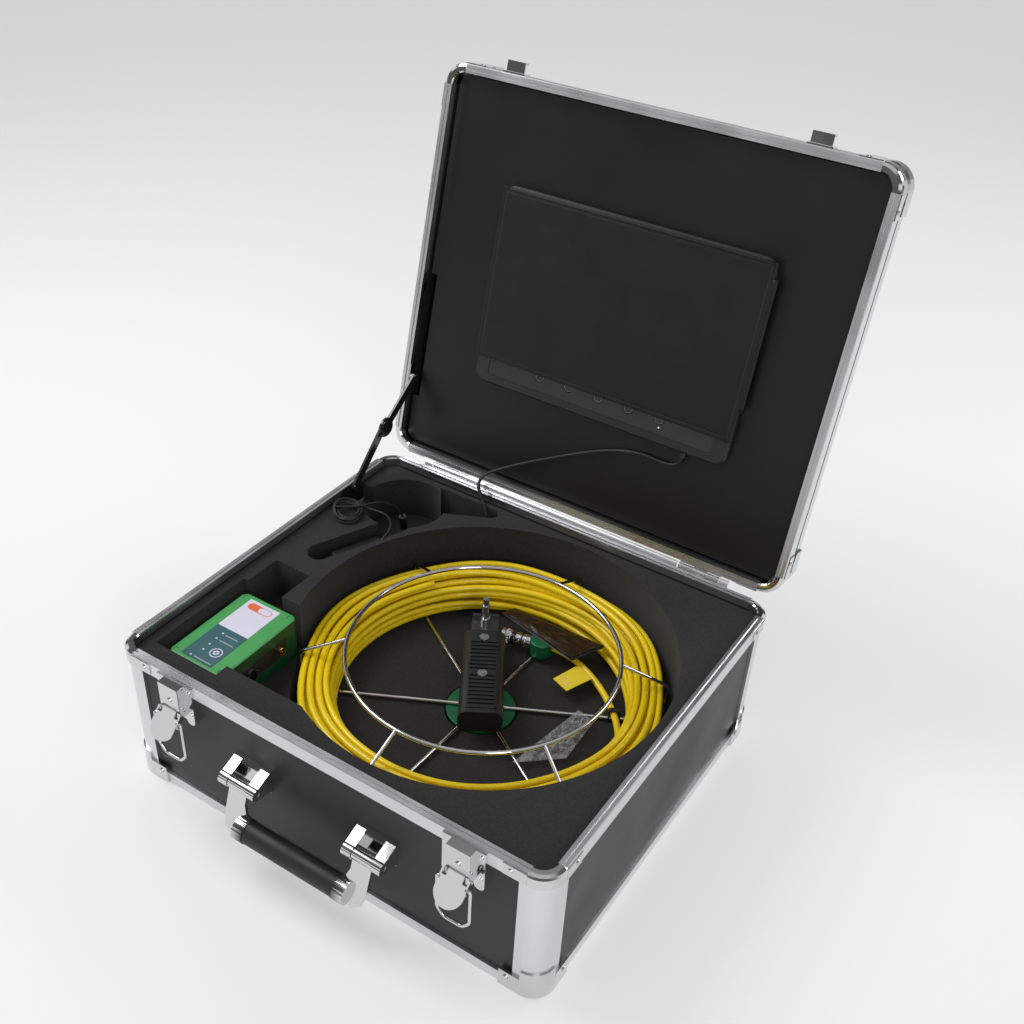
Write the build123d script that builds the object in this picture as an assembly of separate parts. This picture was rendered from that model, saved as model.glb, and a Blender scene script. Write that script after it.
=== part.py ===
from build123d import *
import math
import os

# Pipe inspection camera kit in an aluminium flight case, lid open.
# Millimetres. Origin: middle of the case's underside. +X right, +Y to the hinge side, +Z up.
# The lid is modelled closed and then turned open about the hinge line.

# ---- driving dimensions -------------------------------------------------
case_width = 460.0
case_depth = 402.0
base_height = 156.0
lid_height = 38.0
lid_gap = 0.5
lid_open_angle = 104.0
corner_radius = 20.0
panel_thickness = 4.0
rail_proud = 2.0
rim_width = 8.5
rim_height = 14.5
foam_top = 146.0
foam_floor = 61.5
cable_diameter = 6.5
monitor_cable_diameter = 3.5
cable_length = 20000.0

# ---- dimensions that follow ---------------------------------------------
half_x = case_width / 2
half_y = case_depth / 2
rim_x = half_x + rail_proud
rim_y = half_y + rail_proud
inner_x = rim_x - rim_width
inner_y = rim_y - rim_width
panel_x = inner_x + panel_thickness
panel_y = inner_y + panel_thickness
arc_x = half_x - corner_radius
arc_y = half_y - corner_radius
inner_radius = inner_x - arc_x
panel_radius = panel_x - arc_x
rim_low = base_height - rim_height
edge_height = 12.0
lid_low = base_height + lid_gap
lid_top = lid_low + lid_height
hinge_y = rim_y + 4.5
hinge_z = base_height + lid_gap / 2
liner_depth = 11.0
liner_low = lid_low + liner_depth
liner_gap = 2.3

# reel
reel_x = 30.0
reel_y = 5.0
reel_turn = -2.0
wire_radius = 1.8
spoke_z = foam_floor + 1.7 + wire_radius
ring_radius = 129.0
ring_z = 134.0
cage_radius = 175.0
cage_shoulder_z = 113.0
coil_inner = 139.0
coil_outer = 172.6
coil_low = spoke_z + wire_radius + 0.4
coil_high = 112.0
boss_radius = 14.0
boss_top = 77.7
disc_low = 59.8
disc_top = foam_floor + 1.7
spindle_radius = 6.0
well_radius = 182.0

# control box
box_x0, box_x1 = -207.0, -140.0
box_y0, box_y1 = -166.0, -60.0
box_low, box_split, box_top = 91.0, 125.0, 136.0

os.makedirs("parts", exist_ok=True)


# ---- helpers ------------------------------------------------------------
def block(x0, x1, y0, y1, z0, z1):
    return Pos((x0 + x1) / 2, (y0 + y1) / 2, (z0 + z1) / 2) * Box(x1 - x0, y1 - y0, z1 - z0)


def rounded_block(x0, x1, y0, y1, z0, z1, radius):
    return fillet(block(x0, x1, y0, y1, z0, z1).edges().filter_by(Axis.Z), radius)


def post(x, y, z0, z1, radius):
    return Pos(x, y, (z0 + z1) / 2) * Cylinder(radius, z1 - z0)


def prism(points, z0, z1):
    outline = make_face(Polyline(*points, close=True))
    return Pos(0, 0, z0) * extrude(outline, z1 - z0)


def rod(start, end, radius):
    """A round bar between two points."""
    a, b = Vector(*start), Vector(*end)
    return Solid.make_cylinder(radius, (b - a).length, Plane(origin=a, z_dir=b - a))


def node(name, *shapes):
    """Write one sub-part, whatever solids it holds, as parts/NAME.step."""
    solids = []
    for shape in shapes:
        solids += list(shape.solids())
    result = solids[0] if len(solids) == 1 else Compound(children=solids)
    export_step(result, f"parts/{name}.step")


def opened(shape):
    """Turn a shape that is modelled on the closed lid to the open lid."""
    return shape.rotate(Axis((0, hinge_y, hinge_z), (1, 0, 0)), -lid_open_angle)


def lid_node(name, *shapes):
    node(name, *[opened(shape) for shape in shapes])


def turned_open(y, z):
    """Where a point of the closed lid is once the lid is open."""
    angle = math.radians(-lid_open_angle)
    dy, dz = y - hinge_y, z - hinge_z
    return (
        hinge_y + dy * math.cos(angle) - dz * math.sin(angle),
        hinge_z + dy * math.sin(angle) + dz * math.cos(angle),
    )


def turned_closed(y, z):
    """Where a point of the open lid is once the lid is closed."""
    angle = math.radians(lid_open_angle)
    dy, dz = y - hinge_y, z - hinge_z
    return (
        hinge_y + dy * math.cos(angle) - dz * math.sin(angle),
        hinge_z + dy * math.sin(angle) + dz * math.cos(angle),
    )


# ---- case shell ---------------------------------------------------------
def rail(outline, outer, length, angle):
    """Straight extrusion along one side; outline is (distance in from the outer face, height)."""
    points = [(outer - u, 0, z) for u, z in outline]
    face = make_face(Polyline(*points, close=True))
    bar = Pos(0, length / 2, 0) * extrude(face, length, dir=(0, -1, 0))
    return Rot(0, 0, angle) * bar


def four_rails(outline, outer_x, outer_y):
    bars = []
    for angle in (0, 180):
        bars.append(rail(outline, outer_x, 2 * arc_y, angle))
    for angle in (90, 270):
        bars.append(rail(outline, outer_y, 2 * arc_x, angle))
    return bars


def corner_places():
    """Arc centre and turn of the front-right, back-right, back-left and front-left corners."""
    return [
        (arc_x, -arc_y, 270),
        (arc_x, arc_y, 0),
        (-arc_x, arc_y, 90),
        (-arc_x, -arc_y, 180),
    ]


def at_corners(piece):
    """Copies of a piece that is drawn about the arc centre in the +X+Y quarter."""
    return [Pos(x, y, 0) * Rot(0, 0, turn) * piece for x, y, turn in corner_places()]


def quarter_ring(outline):
    """A (radius, height) outline turned through the corner's quarter circle."""
    face = make_face(Polyline(*[(r, 0, z) for r, z in outline], close=True))
    return revolve(face, Axis.Z, 90)


def rim_outline(low, high, seat):
    """Rim extrusion: outer flange over the panel, and a mating face with a groove."""
    lip = 0.8 if high > low else -0.8
    step = 2.0 if high > low else -2.0
    return [
        (0, low), (0, high - lip), (0.8, high), (4.0, high), (4.0, high - step),
        (5.6, high - step), (5.6, high), (rim_width, high),
        (rim_width, seat), (rim_width - panel_thickness, seat), (rim_width - panel_thickness, low),
    ]


def edge_outline(low, high, flange):
    """Angle extrusion round the floor or the lid's top."""
    return [
        (0, low), (0, high), (2.5, high), (2.5, flange), (16.5, flange), (16.5, low),
    ]


def wall_panels(z0, z1):
    sides = [block(inner_x, panel_x, -arc_y, arc_y, z0, z1), block(-panel_x, -inner_x, -arc_y, arc_y, z0, z1)]
    ends = [block(-arc_x, arc_x, inner_y, panel_y, z0, z1), block(-arc_x, arc_x, -panel_y, -inner_y, z0, z1)]
    return sides + ends


def corner_post(z0, z1):
    """Rounded upright that closes a corner, with a thin flange over each panel."""
    flange = 8.0
    outer_radius = corner_radius
    curve = quarter_ring([(inner_radius, z0), (inner_radius, z1), (outer_radius, z1), (outer_radius, z0)])
    side = block(panel_radius, outer_radius, -flange, 0, z0, z1)
    end = block(-flange, 0, panel_radius, outer_radius, z0, z1)
    return curve + side + end


def rim_corner(low, high):
    """Polished corner that joins two rim extrusions, with a screwed wing along each."""
    proud = corner_radius + rail_proud + 0.6
    bevel = 1.2 if high > low else -1.2
    return quarter_ring([
        (inner_radius, low), (inner_radius, high - bevel), (inner_radius + 1.2, high), (proud - 3.6, high),
        (proud - 1.0, high - 1.4 * bevel), (proud, high - 3 * bevel), (proud, low),
    ])


def rim_wing(z0, z1):
    length = 22.0
    outer = corner_radius + rail_proud
    side = block(outer, outer + 1.0, -length, 0, z0, z1)
    end = block(-length, 0, outer, outer + 1.0, z0, z1)
    return [side, end]


def wing_screws(z):
    reach = 15.0
    outer = corner_radius + rail_proud + 1.0
    head = 0.9
    side = rod((outer, -reach, z), (outer + head, -reach, z), 2.4)
    end = rod((-reach, outer, z), (-reach, outer + head, z), 2.4)
    return [side, end]


def corner_protector(low, high, ear_high, plate_high):
    """Cast corner: closes the angle extrusions' corner and wraps the post's foot, with two ears."""
    proud = corner_radius + 2.2
    ear = 20.0
    edge = low + edge_height if high > low else low - edge_height
    body = quarter_ring([(inner_radius, low), (inner_radius, edge), (proud, edge), (proud, low)])
    skin = quarter_ring([(corner_radius, edge), (corner_radius, high), (proud - 0.8, high), (proud, edge)])
    z0, z1 = sorted((low, plate_high))
    plate = quarter_ring([(0, z0), (0, z1), (inner_radius, z1), (inner_radius, z0)])
    plate -= block(-1, 3.5, -1, 3.5, z0 - 1, z1 + 1)
    e0, e1 = sorted((low, ear_high))
    side = block(corner_radius, proud, -ear, 0, e0, e1)
    end = block(-ear, 0, corner_radius, proud, e0, e1)
    return body + skin + plate + side + end


def protector_rivets(z):
    reach = 13.0
    outer = corner_radius + 2.2
    side = rod((outer, -reach, z), (outer + 1.1, -reach, z), 2.6)
    end = rod((-reach, outer, z), (-reach, outer + 1.1, z), 2.6)
    return [side, end]


def base_shell():
    floor_x, floor_y = half_x - 16.5, half_y - 16.5
    floor = block(-floor_x, floor_x, -floor_y, floor_y, 0, 4)
    node("base_panels", floor, *wall_panels(4, base_height - 8))
    node("base_rim_rails", *four_rails(rim_outline(rim_low, base_height, base_height - 8), rim_x, rim_y))
    edges = four_rails(edge_outline(0, edge_height, 4), half_x, half_y)
    node("base_edge_rails", *edges, *at_corners(corner_post(edge_height, rim_low)))
    caps = at_corners(rim_corner(rim_low, base_height))
    node("base_corners", *caps, *at_corners(corner_protector(0, 30, 20, 4)))
    trim = []
    for piece in rim_wing(rim_low + 1, base_height - 1.5) + wing_screws(base_height - 7.5) + protector_rivets(13):
        trim += at_corners(piece)
    node("base_trim", *trim)


def lid_shell():
    floor_x, floor_y = half_x - 16.5, half_y - 16.5
    top = block(-floor_x, floor_x, -floor_y, floor_y, lid_top - 4, lid_top)
    lid_node("lid_panels", top, *wall_panels(lid_low + 8, lid_top - 4))
    rim_top = lid_low + rim_height
    lid_node("lid_rim_rails", *four_rails(rim_outline(rim_top, lid_low, lid_low + 8), rim_x, rim_y))
    edges = four_rails(edge_outline(lid_top, lid_top - edge_height, lid_top - 4), half_x, half_y)
    lid_node("lid_edge_rails", *edges, *at_corners(corner_post(rim_top, lid_top - edge_height)))
    caps = at_corners(rim_corner(rim_top, lid_low))
    protector = corner_protector(lid_top, lid_top - edge_height - 8, lid_top - 16, lid_top - 4)
    lid_node("lid_corners", *caps, *at_corners(protector))
    trim = []
    for piece in rim_wing(lid_low + 1.5, rim_top - 1) + wing_screws(lid_low + 7.5):
        trim += at_corners(piece)
    lid_node("lid_trim", *trim)
    lid_node("lid_liner", lid_liner())


def lid_liner():
    """Padded lining with a recess for the monitor and a cut beside the folded stay."""
    x, y = inner_x - liner_gap, inner_y - liner_gap
    liner = rounded_block(-x, x, -y, y, liner_low, lid_top - 4, inner_radius - liner_gap)
    recess = rounded_block(
        -screen_half_x - 0.2, screen_half_x + 0.2, screen_y0 - 0.2, screen_y1 + 0.2,
        liner_low - 1, housing_top, 12.2)
    stay_cut = block(-inner_x, -stay_room, 7.5, 142, liner_low - 1, lid_top - 5)
    return liner - recess - stay_cut


# ---- monitor outline, shared with the lid's lining -------------------------
screen_half_x = 145.0
screen_y0, screen_y1 = -103.0, 98.0
fascia_low = lid_low + 2.6
housing_low = fascia_low + 2.0
housing_top = lid_top - 8.5
stay_room = 213.5


# ---- hinges -------------------------------------------------------------
hinge_places = (-150.0, 150.0)
knuckle_radius = 3.3
hinge_pin_radius = 1.6
hinge_pin_gap = 0.05
leaf = 1.2


def knuckle(x0, x1):
    return rod((x0, hinge_y, hinge_z), (x1, hinge_y, hinge_z), knuckle_radius)


def hinge_hole(x0, x1):
    return rod((x0 - 1, hinge_y, hinge_z), (x1 + 1, hinge_y, hinge_z), hinge_pin_radius + hinge_pin_gap)


def base_hinge(x):
    plate = block(x - 22, x + 22, rim_y, rim_y + leaf, rim_low + 1, base_height - 1)
    shape = plate
    for x0, x1 in ((x - 22, x - 7.3), (x + 7.3, x + 22)):
        shape += knuckle(x0, x1)
        shape += block(x0, x1, rim_y + leaf - 0.2, hinge_y, hinge_z - knuckle_radius, hinge_z - 2.1)
        shape += block(x0, x1, rim_y, rim_y + leaf, base_height - 4, hinge_z - 1.2)
    return shape - hinge_hole(x - 22, x + 22)


def lid_hinge(x):
    plate = block(x - 22, x + 22, rim_y, rim_y + leaf, lid_low + 1.3, lid_low + rim_height - 1)
    shape = plate + knuckle(x - 7, x + 7)
    shape += block(x - 7, x + 7, rim_y + leaf - 0.2, hinge_y, hinge_z + 2.1, hinge_z + knuckle_radius)
    return shape - hinge_hole(x - 22, x + 22)


def hinge_band(x0, x1):
    """Ribbed aluminium band that covers the gap behind the rims."""
    outer, inner = 4.1, 3.5
    ring = rod((x0, hinge_y, hinge_z), (x1, hinge_y, hinge_z), outer)
    ring -= rod((x0 - 1, hinge_y, hinge_z), (x1 + 1, hinge_y, hinge_z), inner)
    ring -= block(x0 - 1, x1 + 1, hinge_y - 6, hinge_y + 6, hinge_z - 6, hinge_z - 0.6)
    ring -= block(x0 - 1, x1 + 1, hinge_y, hinge_y + 6, hinge_z - 6, hinge_z + 6)
    foot = block(x0, x1, rim_y, rim_y + 1.0, rim_low + 1, hinge_z - 0.4)
    return ring + foot


def hinges():
    pins = []
    for x in hinge_places:
        pins.append(rod((x - 22, hinge_y, hinge_z), (x + 22, hinge_y, hinge_z), hinge_pin_radius))
    node("base_hinge_leaves", *[base_hinge(x) for x in hinge_places], *pins)
    lid_node("lid_hinge_leaves", *[lid_hinge(x) for x in hinge_places])
    node("hinge_band", hinge_band(-182.5, -173), hinge_band(-127, 127), hinge_band(173, 182.5))


# ---- foam insert --------------------------------------------------------
foam_gap = 0.3


def foam_outline(z0, z1):
    x, y = inner_x - foam_gap, inner_y - foam_gap
    return rounded_block(-x, x, -y, y, z0, z1, inner_radius - foam_gap)


def adapter_slot(z0):
    start, end = (-181.0, 22.0), (-147.0, 104.0)
    half = 13.0
    dx, dy = end[0] - start[0], end[1] - start[1]
    size = math.hypot(dx, dy)
    nx, ny = -dy / size * half, dx / size * half
    top = foam_top + 1
    channel = prism(
        [(start[0] + nx, start[1] + ny), (end[0] + nx, end[1] + ny),
         (end[0] - nx, end[1] - ny), (start[0] - nx, start[1] - ny)], z0, top)
    return channel + post(start[0], start[1], z0, top, half) + post(end[0], end[1], z0, top, half)


def foam():
    top = foam_top + 1
    insert = foam_outline(foam_floor, foam_top)
    insert -= post(reel_x, reel_y, foam_floor - 1, top, well_radius)
    insert -= block(box_x0 - 6, box_x1 + 1.5, box_y0 - 6, box_y1 + 5, box_low - 0.3, top)
    insert -= block(box_x1, -40, -158, box_y1, box_low - 0.3, top)
    insert -= block(-207, -164, box_y1, -14, 104, top)
    insert -= adapter_slot(106)
    insert -= post(-164, 141, 100, top, 45)
    insert -= prism([(-150, 188.5), (-76, 188.5), (-70, 181), (-74, 174), (-122, 150)], 100, top)
    insert -= block(-inner_x, -206, 103, 145, 126, top)
    node("foam_insert", insert)
    plinth = foam_outline(4, foam_floor)
    plinth -= post(reel_x, reel_y, 21.7, foam_floor + 1, 36)
    node("foam_plinth", plinth)


# ---- lid stay -----------------------------------------------------------
stay_base = (128.0, 150.5)
stay_lower_length, stay_lower_angle = 72.9, 44.4
stay_upper_length, stay_upper_angle = 64.9, 35.4
stay_sheet = 2.4
stay_gap = 0.3
stay_half_width = 5.0


def along(point, length, angle):
    y, z = point
    return (y + length * math.cos(math.radians(angle)), z + length * math.sin(math.radians(angle)))


stay_elbow = along(stay_base, stay_lower_length, stay_lower_angle)
stay_lid = along(stay_elbow, stay_upper_length, stay_upper_angle)
bracket_face = -inner_x + 1.0
lower_x0 = bracket_face + 0.4
lower_x1 = lower_x0 + stay_sheet
upper_x0 = lower_x1 + stay_gap
upper_x1 = upper_x0 + stay_sheet


def stay_disc(centre, x0, x1, radius):
    y, z = centre
    return rod((x0, y, z), (x1, y, z), radius)


def link(a, b, x0, x1):
    """Flat bar with round ends in the plane of the left wall."""
    dy, dz = b[0] - a[0], b[1] - a[1]
    scale = stay_half_width / math.hypot(dy, dz)
    ny, nz = -dz * scale, dy * scale
    points = [
        (x0, a[0] + ny, a[1] + nz), (x0, b[0] + ny, b[1] + nz),
        (x0, b[0] - ny, b[1] - nz), (x0, a[0] - ny, a[1] - nz),
    ]
    bar = extrude(make_face(Polyline(*points, close=True)), x1 - x0, dir=(1, 0, 0))
    return bar + stay_disc(a, x0, x1, stay_half_width) + stay_disc(b, x0, x1, stay_half_width)


def lid_stay():
    stud, bore, head = 2.5, 2.55, 1.0
    lower = link(stay_base, stay_elbow, lower_x0, lower_x1)
    lower -= stay_disc(stay_base, lower_x0 - 1, lower_x1 + 1, bore)
    lower -= stay_disc(stay_elbow, lower_x0 - 1, lower_x1 + 1, bore)
    node("stay_lower_link", lower)
    upper = link(stay_elbow, stay_lid, upper_x0, upper_x1)
    upper += stay_disc(stay_elbow, upper_x0, upper_x1, 11.0)
    upper += stay_disc(stay_elbow, lower_x0, upper_x0, stud)
    upper += stay_disc(stay_lid, upper_x1, upper_x1 + head, 3.8)
    cap = stay_disc(stay_elbow, upper_x1, upper_x1 + 1.4, 9.6)
    cap += stay_disc(stay_elbow, upper_x1 + 1.4, upper_x1 + 2.2, 4.0)
    node("stay_upper_link", upper, cap)
    base_mount = block(-inner_x, bracket_face, 110, 142, 129, 155)
    base_mount += stay_disc(stay_base, bracket_face, lower_x1 + 0.15, stud)
    base_mount += stay_disc(stay_base, lower_x1 + 0.15, lower_x1 + 0.15 + head, 4.2)
    node("stay_base_mount", base_mount)
    y, z = turned_closed(*stay_lid)
    strip = block(-inner_x, bracket_face, y - 14, y + 14, lid_low + 0.5, lid_low + 9)
    boss = rod((bracket_face, y, z), (upper_x0 - stay_gap, y, z), 3.4)
    lid_node("stay_lid_mount", strip + boss)


# ---- latches ------------------------------------------------------------
latch_places = {"left": -157.0, "right": 153.0}
lever_pivot = (-211.0, 125.0)
latch_front = -213.0
lever_tilt = 40.0
lever_length = 31.0
lever_sheet = 1.5
bail_reach = 10.0
bail_drop = 48.0
bail_half = 16.0
bail_wire = 1.5
latch_pin_radius = 1.6
latch_bore_gap = 0.05


def on_lever(length):
    """A point on the tilted lever's centre line, length away from its pivot."""
    tilt = math.radians(lever_tilt)
    return (lever_pivot[0] - length * math.sin(tilt), lever_pivot[1] - length * math.cos(tilt))


def latch_plate(x):
    """Plate with rounded ends behind a hollow pressed block that the lever hangs from."""
    face = -rim_y - 2.0
    plate = block(x - 20.5, x + 20.5, face, -rim_y, rim_low, base_height - 3.5)
    plate += block(x - 20.5, x + 20.5, face, -panel_y, 113, rim_low)
    for side in (-1, 1):
        plate += rod((x + side * 15.5, face, 113), (x + side * 15.5, -panel_y, 113), 5.0)
    front, wall = latch_front, 1.6
    shell = block(x - 11.5, x + 11.5, front, face, 118, base_height - 3.5)
    shell -= block(x - 11.5 + wall, x + 11.5 - wall, front + wall, face + 1, 117, base_height - 5.1)
    shell -= block(x - 8, x + 8, front - 1, front + wall + 1, 117, 129)
    return plate + shell - latch_bore(x)


def latch_bore(x):
    return rod((x - 20, *lever_pivot), (x + 20, *lever_pivot), latch_pin_radius + latch_bore_gap)


def latch_pin(x):
    return rod((x - 11.5, *lever_pivot), (x + 11.5, *lever_pivot), latch_pin_radius)


def latch_screws(x):
    heads = [rod((x, latch_front, 136), (x, latch_front - 1.2, 136), 2.6)]
    for z in (121, 147):
        heads.append(rod((x + 16.5, -rim_y - 2, z), (x + 16.5, -rim_y - 3.0, z), 2.4))
    return heads


def latch_lever(x):
    """Pressed tab with a round end that leans out from the pin."""
    plane = Plane(origin=(x, *lever_pivot), x_dir=(1, 0, 0), z_dir=(0, *[-v for v in lever_normal()]))
    down = 1 if plane.y_dir.Z < 0 else -1
    half, end = 13.5, lever_length - 13.5
    flat = make_face(Polyline(*[(u, down * v) for u, v in ((-half, 7), (half, 7), (half, end), (-half, end))], close=True))
    tab = extrude(flat, lever_sheet) + Pos(0, down * end, lever_sheet / 2) * Cylinder(half, lever_sheet)
    for side in (-1, 1):
        cheek = Pos(side * (half - 0.8), down * 8.5, -1.6) * Box(1.6, 13, 5.6)
        tab += cheek
    neck = Pos(0, down * 4, lever_sheet / 2) * Box(15, 10, lever_sheet)
    lever = plane * (Pos(0, 0, 1.2) * (tab + neck))
    lever += rod((x - 7.6, *lever_pivot), (x + 7.6, *lever_pivot), 2.9)
    eye_y, eye_z = on_lever(bail_reach)
    for side in (-1, 1):
        a, b = x + side * 11.9, x + side * 13.5
        lever += rod((a, eye_y, eye_z), (b, eye_y, eye_z), 3.2)
    lever -= latch_bore(x)
    return lever - rod((x - 20, eye_y, eye_z), (x + 20, eye_y, eye_z), bail_wire + latch_bore_gap)


def lever_normal():
    """Unit vector out of the lever's back, in the Y-Z plane."""
    tilt = math.radians(lever_tilt)
    return (math.cos(tilt), -math.sin(tilt))


def latch_bail(x):
    """Wire loop with a round end that hangs from the lever and hooks over the lid's catch."""
    y, z = on_lever(bail_reach)
    low = z - bail_drop
    path = FilletPolyline(
        (x - 11.5, y, z), (x - bail_half, y, z), (x - bail_half, y, low + 9), (x - 9, y, low),
        (x + 9, y, low), (x + bail_half, y, low + 9), (x + bail_half, y, z), (x + 11.5, y, z),
        radius=[2.0, 8.0, 7.5, 7.5, 8.0, 2.0])
    return sweep(Plane(origin=path @ 0, z_dir=path % 0) * Circle(bail_wire), path=path)


def lid_catch(x):
    """Hook on the lid's front rim that the bail pulls on."""
    face = -rim_y
    plate = block(x - 12, x + 12, face - 1.6, face, lid_low + 2, lid_low + rim_height - 1)
    hook = block(x - 10, x + 10, face - 10, face, lid_low + 4.5, lid_low + 6.5)
    lip = block(x - 10, x + 10, face - 11.5, face - 9.5, lid_low + 4.5, lid_low + 11.0)
    return plate + hook + lip


def latches():
    fixed = []
    for x in latch_places.values():
        fixed += [latch_plate(x), latch_pin(x)]
        fixed += latch_screws(x)
    node("latch_plates", *fixed)
    for side, x in latch_places.items():
        node(f"latch_lever_{side}", latch_lever(x))
        node(f"latch_bail_{side}", latch_bail(x))
    lid_node("lid_catches", *[lid_catch(x) for x in latch_places.values()])


# ---- carry handle -------------------------------------------------------
handle_pivot = (-218.0, 84.0)
handle_grip = (-231.0, 47.0)
handle_middle = -5.5
handle_spread = 69.0
arm_width = 20.0
arm_sheet = 3.0
grip_radius = 11.0


def handle_bracket(x):
    """Back plate with two cheeks that hold the handle's pin, and a bar over the gap."""
    wall = -panel_y
    half = arm_width / 2 + 0.4
    shape = block(x - half - 10, x + half + 10, wall - 3, wall, 72, 97)
    y, z = handle_pivot
    cheek_outline = [(wall - 2, 97), (y + 1, z + 6.5), (y - 4, z + 4), (y - 4, z - 4), (y + 1, z - 6.5), (wall - 2, 73)]
    for side in (-1, 1):
        x0 = x + side * half
        face = make_face(Polyline(*[(x0, a, b) for a, b in cheek_outline], close=True))
        shape += extrude(face, 10, dir=(side, 0, 0))
        shape += rod((x0, y, z), (x0 + side * 10, y, z), 6.5)
    shape += block(x - half, x + half, wall - 6, wall - 2, 93.5, 97)
    return shape - rod((x - 30, y, z), (x + 30, y, z), 2.55)


def handle_arm(side):
    """Flat arm that lies in the plane of the pivot line and the grip, wider at its foot."""
    x = handle_middle + side * handle_spread
    dy, dz = handle_grip[0] - handle_pivot[0], handle_grip[1] - handle_pivot[1]
    reach = math.hypot(dy, dz)
    plane = Plane(origin=(0, *handle_pivot), x_dir=(1, 0, 0), z_dir=(0, dz, -dy))
    down = 1 if plane.y_dir.Z < 0 else -1
    half = arm_width / 2
    outline = [
        (half, -3), (half, reach - 8), (half - 3, reach + 6), (half - 12, reach + 11), (-half - 9, reach + 11),
        (-half - 9, reach - 11), (-half - 3, reach - 16), (-half, reach - 24), (-half, -3),
    ]
    face = make_face(Polyline(*[(x + side * u, down * v) for u, v in outline], close=True))
    arm = plane * (Pos(0, 0, -arm_sheet / 2) * extrude(face, arm_sheet))
    arm += rod((x - half, *handle_pivot), (x + half, *handle_pivot), 5.5)
    foot = x - side * (half + 9)
    arm += rod((foot, *handle_grip), (foot + side * 12, *handle_grip), grip_radius + 0.6)
    arm -= rod((foot - side, *handle_grip), (foot + side * 7, *handle_grip), grip_radius)
    return arm - rod((x - 30, *handle_pivot), (x + 30, *handle_pivot), 2.55)


def handle():
    half = handle_spread - arm_width / 2 - 2.0
    grip = rod((handle_middle - half, *handle_grip), (handle_middle + half, *handle_grip), grip_radius)
    node("handle", grip, *[handle_arm(side) for side in (-1, 1)])
    fixed = []
    for side in (-1, 1):
        x = handle_middle + side * handle_spread
        fixed += [handle_bracket(x), rod((x - 20, *handle_pivot), (x + 20, *handle_pivot), 2.5)]
    node("handle_brackets", *fixed)


# ---- monitor in the lid -------------------------------------------------
fascia_half_x = 128.5
fascia_y0, fascia_y1 = -92.0, 88.5
frame_gap = 0.1
screen_sides = (-111.0, 111.0, -78.0, 52.0)
button_pitch = 34.3
button_y = 73.0
button_radius = 5.5
gland_x = 101.0
gland_depth = 7.6


def button_places():
    return [1.0 + button_pitch * i for i in (-2, -1, 0, 1, 2)]


def monitor_frame():
    """Hollow housing whose front is a bevelled frame round the glossy fascia."""
    wall = 3.0
    outer = rounded_block(-screen_half_x, screen_half_x, screen_y0, screen_y1, fascia_low, housing_top, 12)
    outer = chamfer(outer.edges().group_by(Axis.Z)[0], 2.4)
    cavity = rounded_block(
        -screen_half_x + wall, screen_half_x - wall, screen_y0 + wall, screen_y1 - wall,
        housing_low + 2, housing_top - wall, 9)
    window = rounded_block(
        -fascia_half_x, fascia_half_x, fascia_y0, fascia_y1, fascia_low - 1, housing_low + 3, 4)
    z = lid_low + gland_depth
    gland = rod((gland_x, screen_y1, z), (gland_x, screen_y1 + 5, z), 3.2)
    bore = rod((gland_x, screen_y1 - 1, z), (gland_x, screen_y1 + 6, z), monitor_cable_diameter / 2 + 0.05)
    return outer - cavity - window + gland - bore


def monitor_fascia():
    x, y0, y1 = fascia_half_x - frame_gap, fascia_y0 + frame_gap, fascia_y1 - frame_gap
    fascia = rounded_block(-x, x, y0, y1, fascia_low + 0.6, housing_low + 0.6, 3.9)
    for button_x in button_places():
        fascia -= post(button_x, button_y, fascia_low - 1, housing_low + 1, button_radius + 0.15)
    return fascia - block(*screen_sides, fascia_low - 1, housing_low + 1)


def monitor():
    lid_node("monitor_housing", monitor_frame())
    lid_node("monitor_fascia", monitor_fascia())
    x0, x1, y0, y1 = screen_sides
    screen = block(x0 + 0.3, x1 - 0.3, y0 + 0.3, y1 - 0.3, fascia_low + 1.0, housing_low + 3)
    board = block(-100, 100, -70, 60, housing_top - 11, housing_top - 9)
    lid_node("monitor_screen", screen, board)
    for index, x in enumerate(button_places()):
        cap = post(x, button_y, fascia_low + 0.7, housing_low + 2.6, button_radius)
        lid_node(f"monitor_button_{index + 1}", fillet(cap.edges().group_by(Axis.Z)[0], 0.8))
    lid_node("sunshade_flap", *sunshade_flap())


def sunshade_flap():
    """Flat sunshade with a folded side panel that shows at its right, and two hinge tips."""
    top = fascia_low - 0.35
    low = top - 1.6
    hinge_line = -100.2
    flap = rounded_block(-145.5, 145.5, -101.0, 71.5, low, top, 2.5)
    folded = block(145.4, 149.6, -86, 39.6, low, top)
    tips = []
    for side in (-1, 1):
        tips.append(rod((side * 145.5, hinge_line, low + 0.8), (side * 149, hinge_line, low + 0.8), 0.8))
    return [flap + folded, *tips]


# ---- reel ---------------------------------------------------------------
def on_reel(shape):
    return Pos(reel_x, reel_y, 0) * Rot(0, 0, reel_turn) * shape


def cage_wire():
    """One bent wire: a spoke under the coil, up its outside and in over it to the top ring."""
    path = FilletPolyline(
        (boss_radius - 2, 0, spoke_z), (cage_radius, 0, spoke_z), (cage_radius, 0, cage_shoulder_z),
        (ring_radius, 0, ring_z), radius=9.0)
    return sweep(Plane(origin=path @ 0, z_dir=path % 0) * Circle(wire_radius), path=path)


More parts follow.
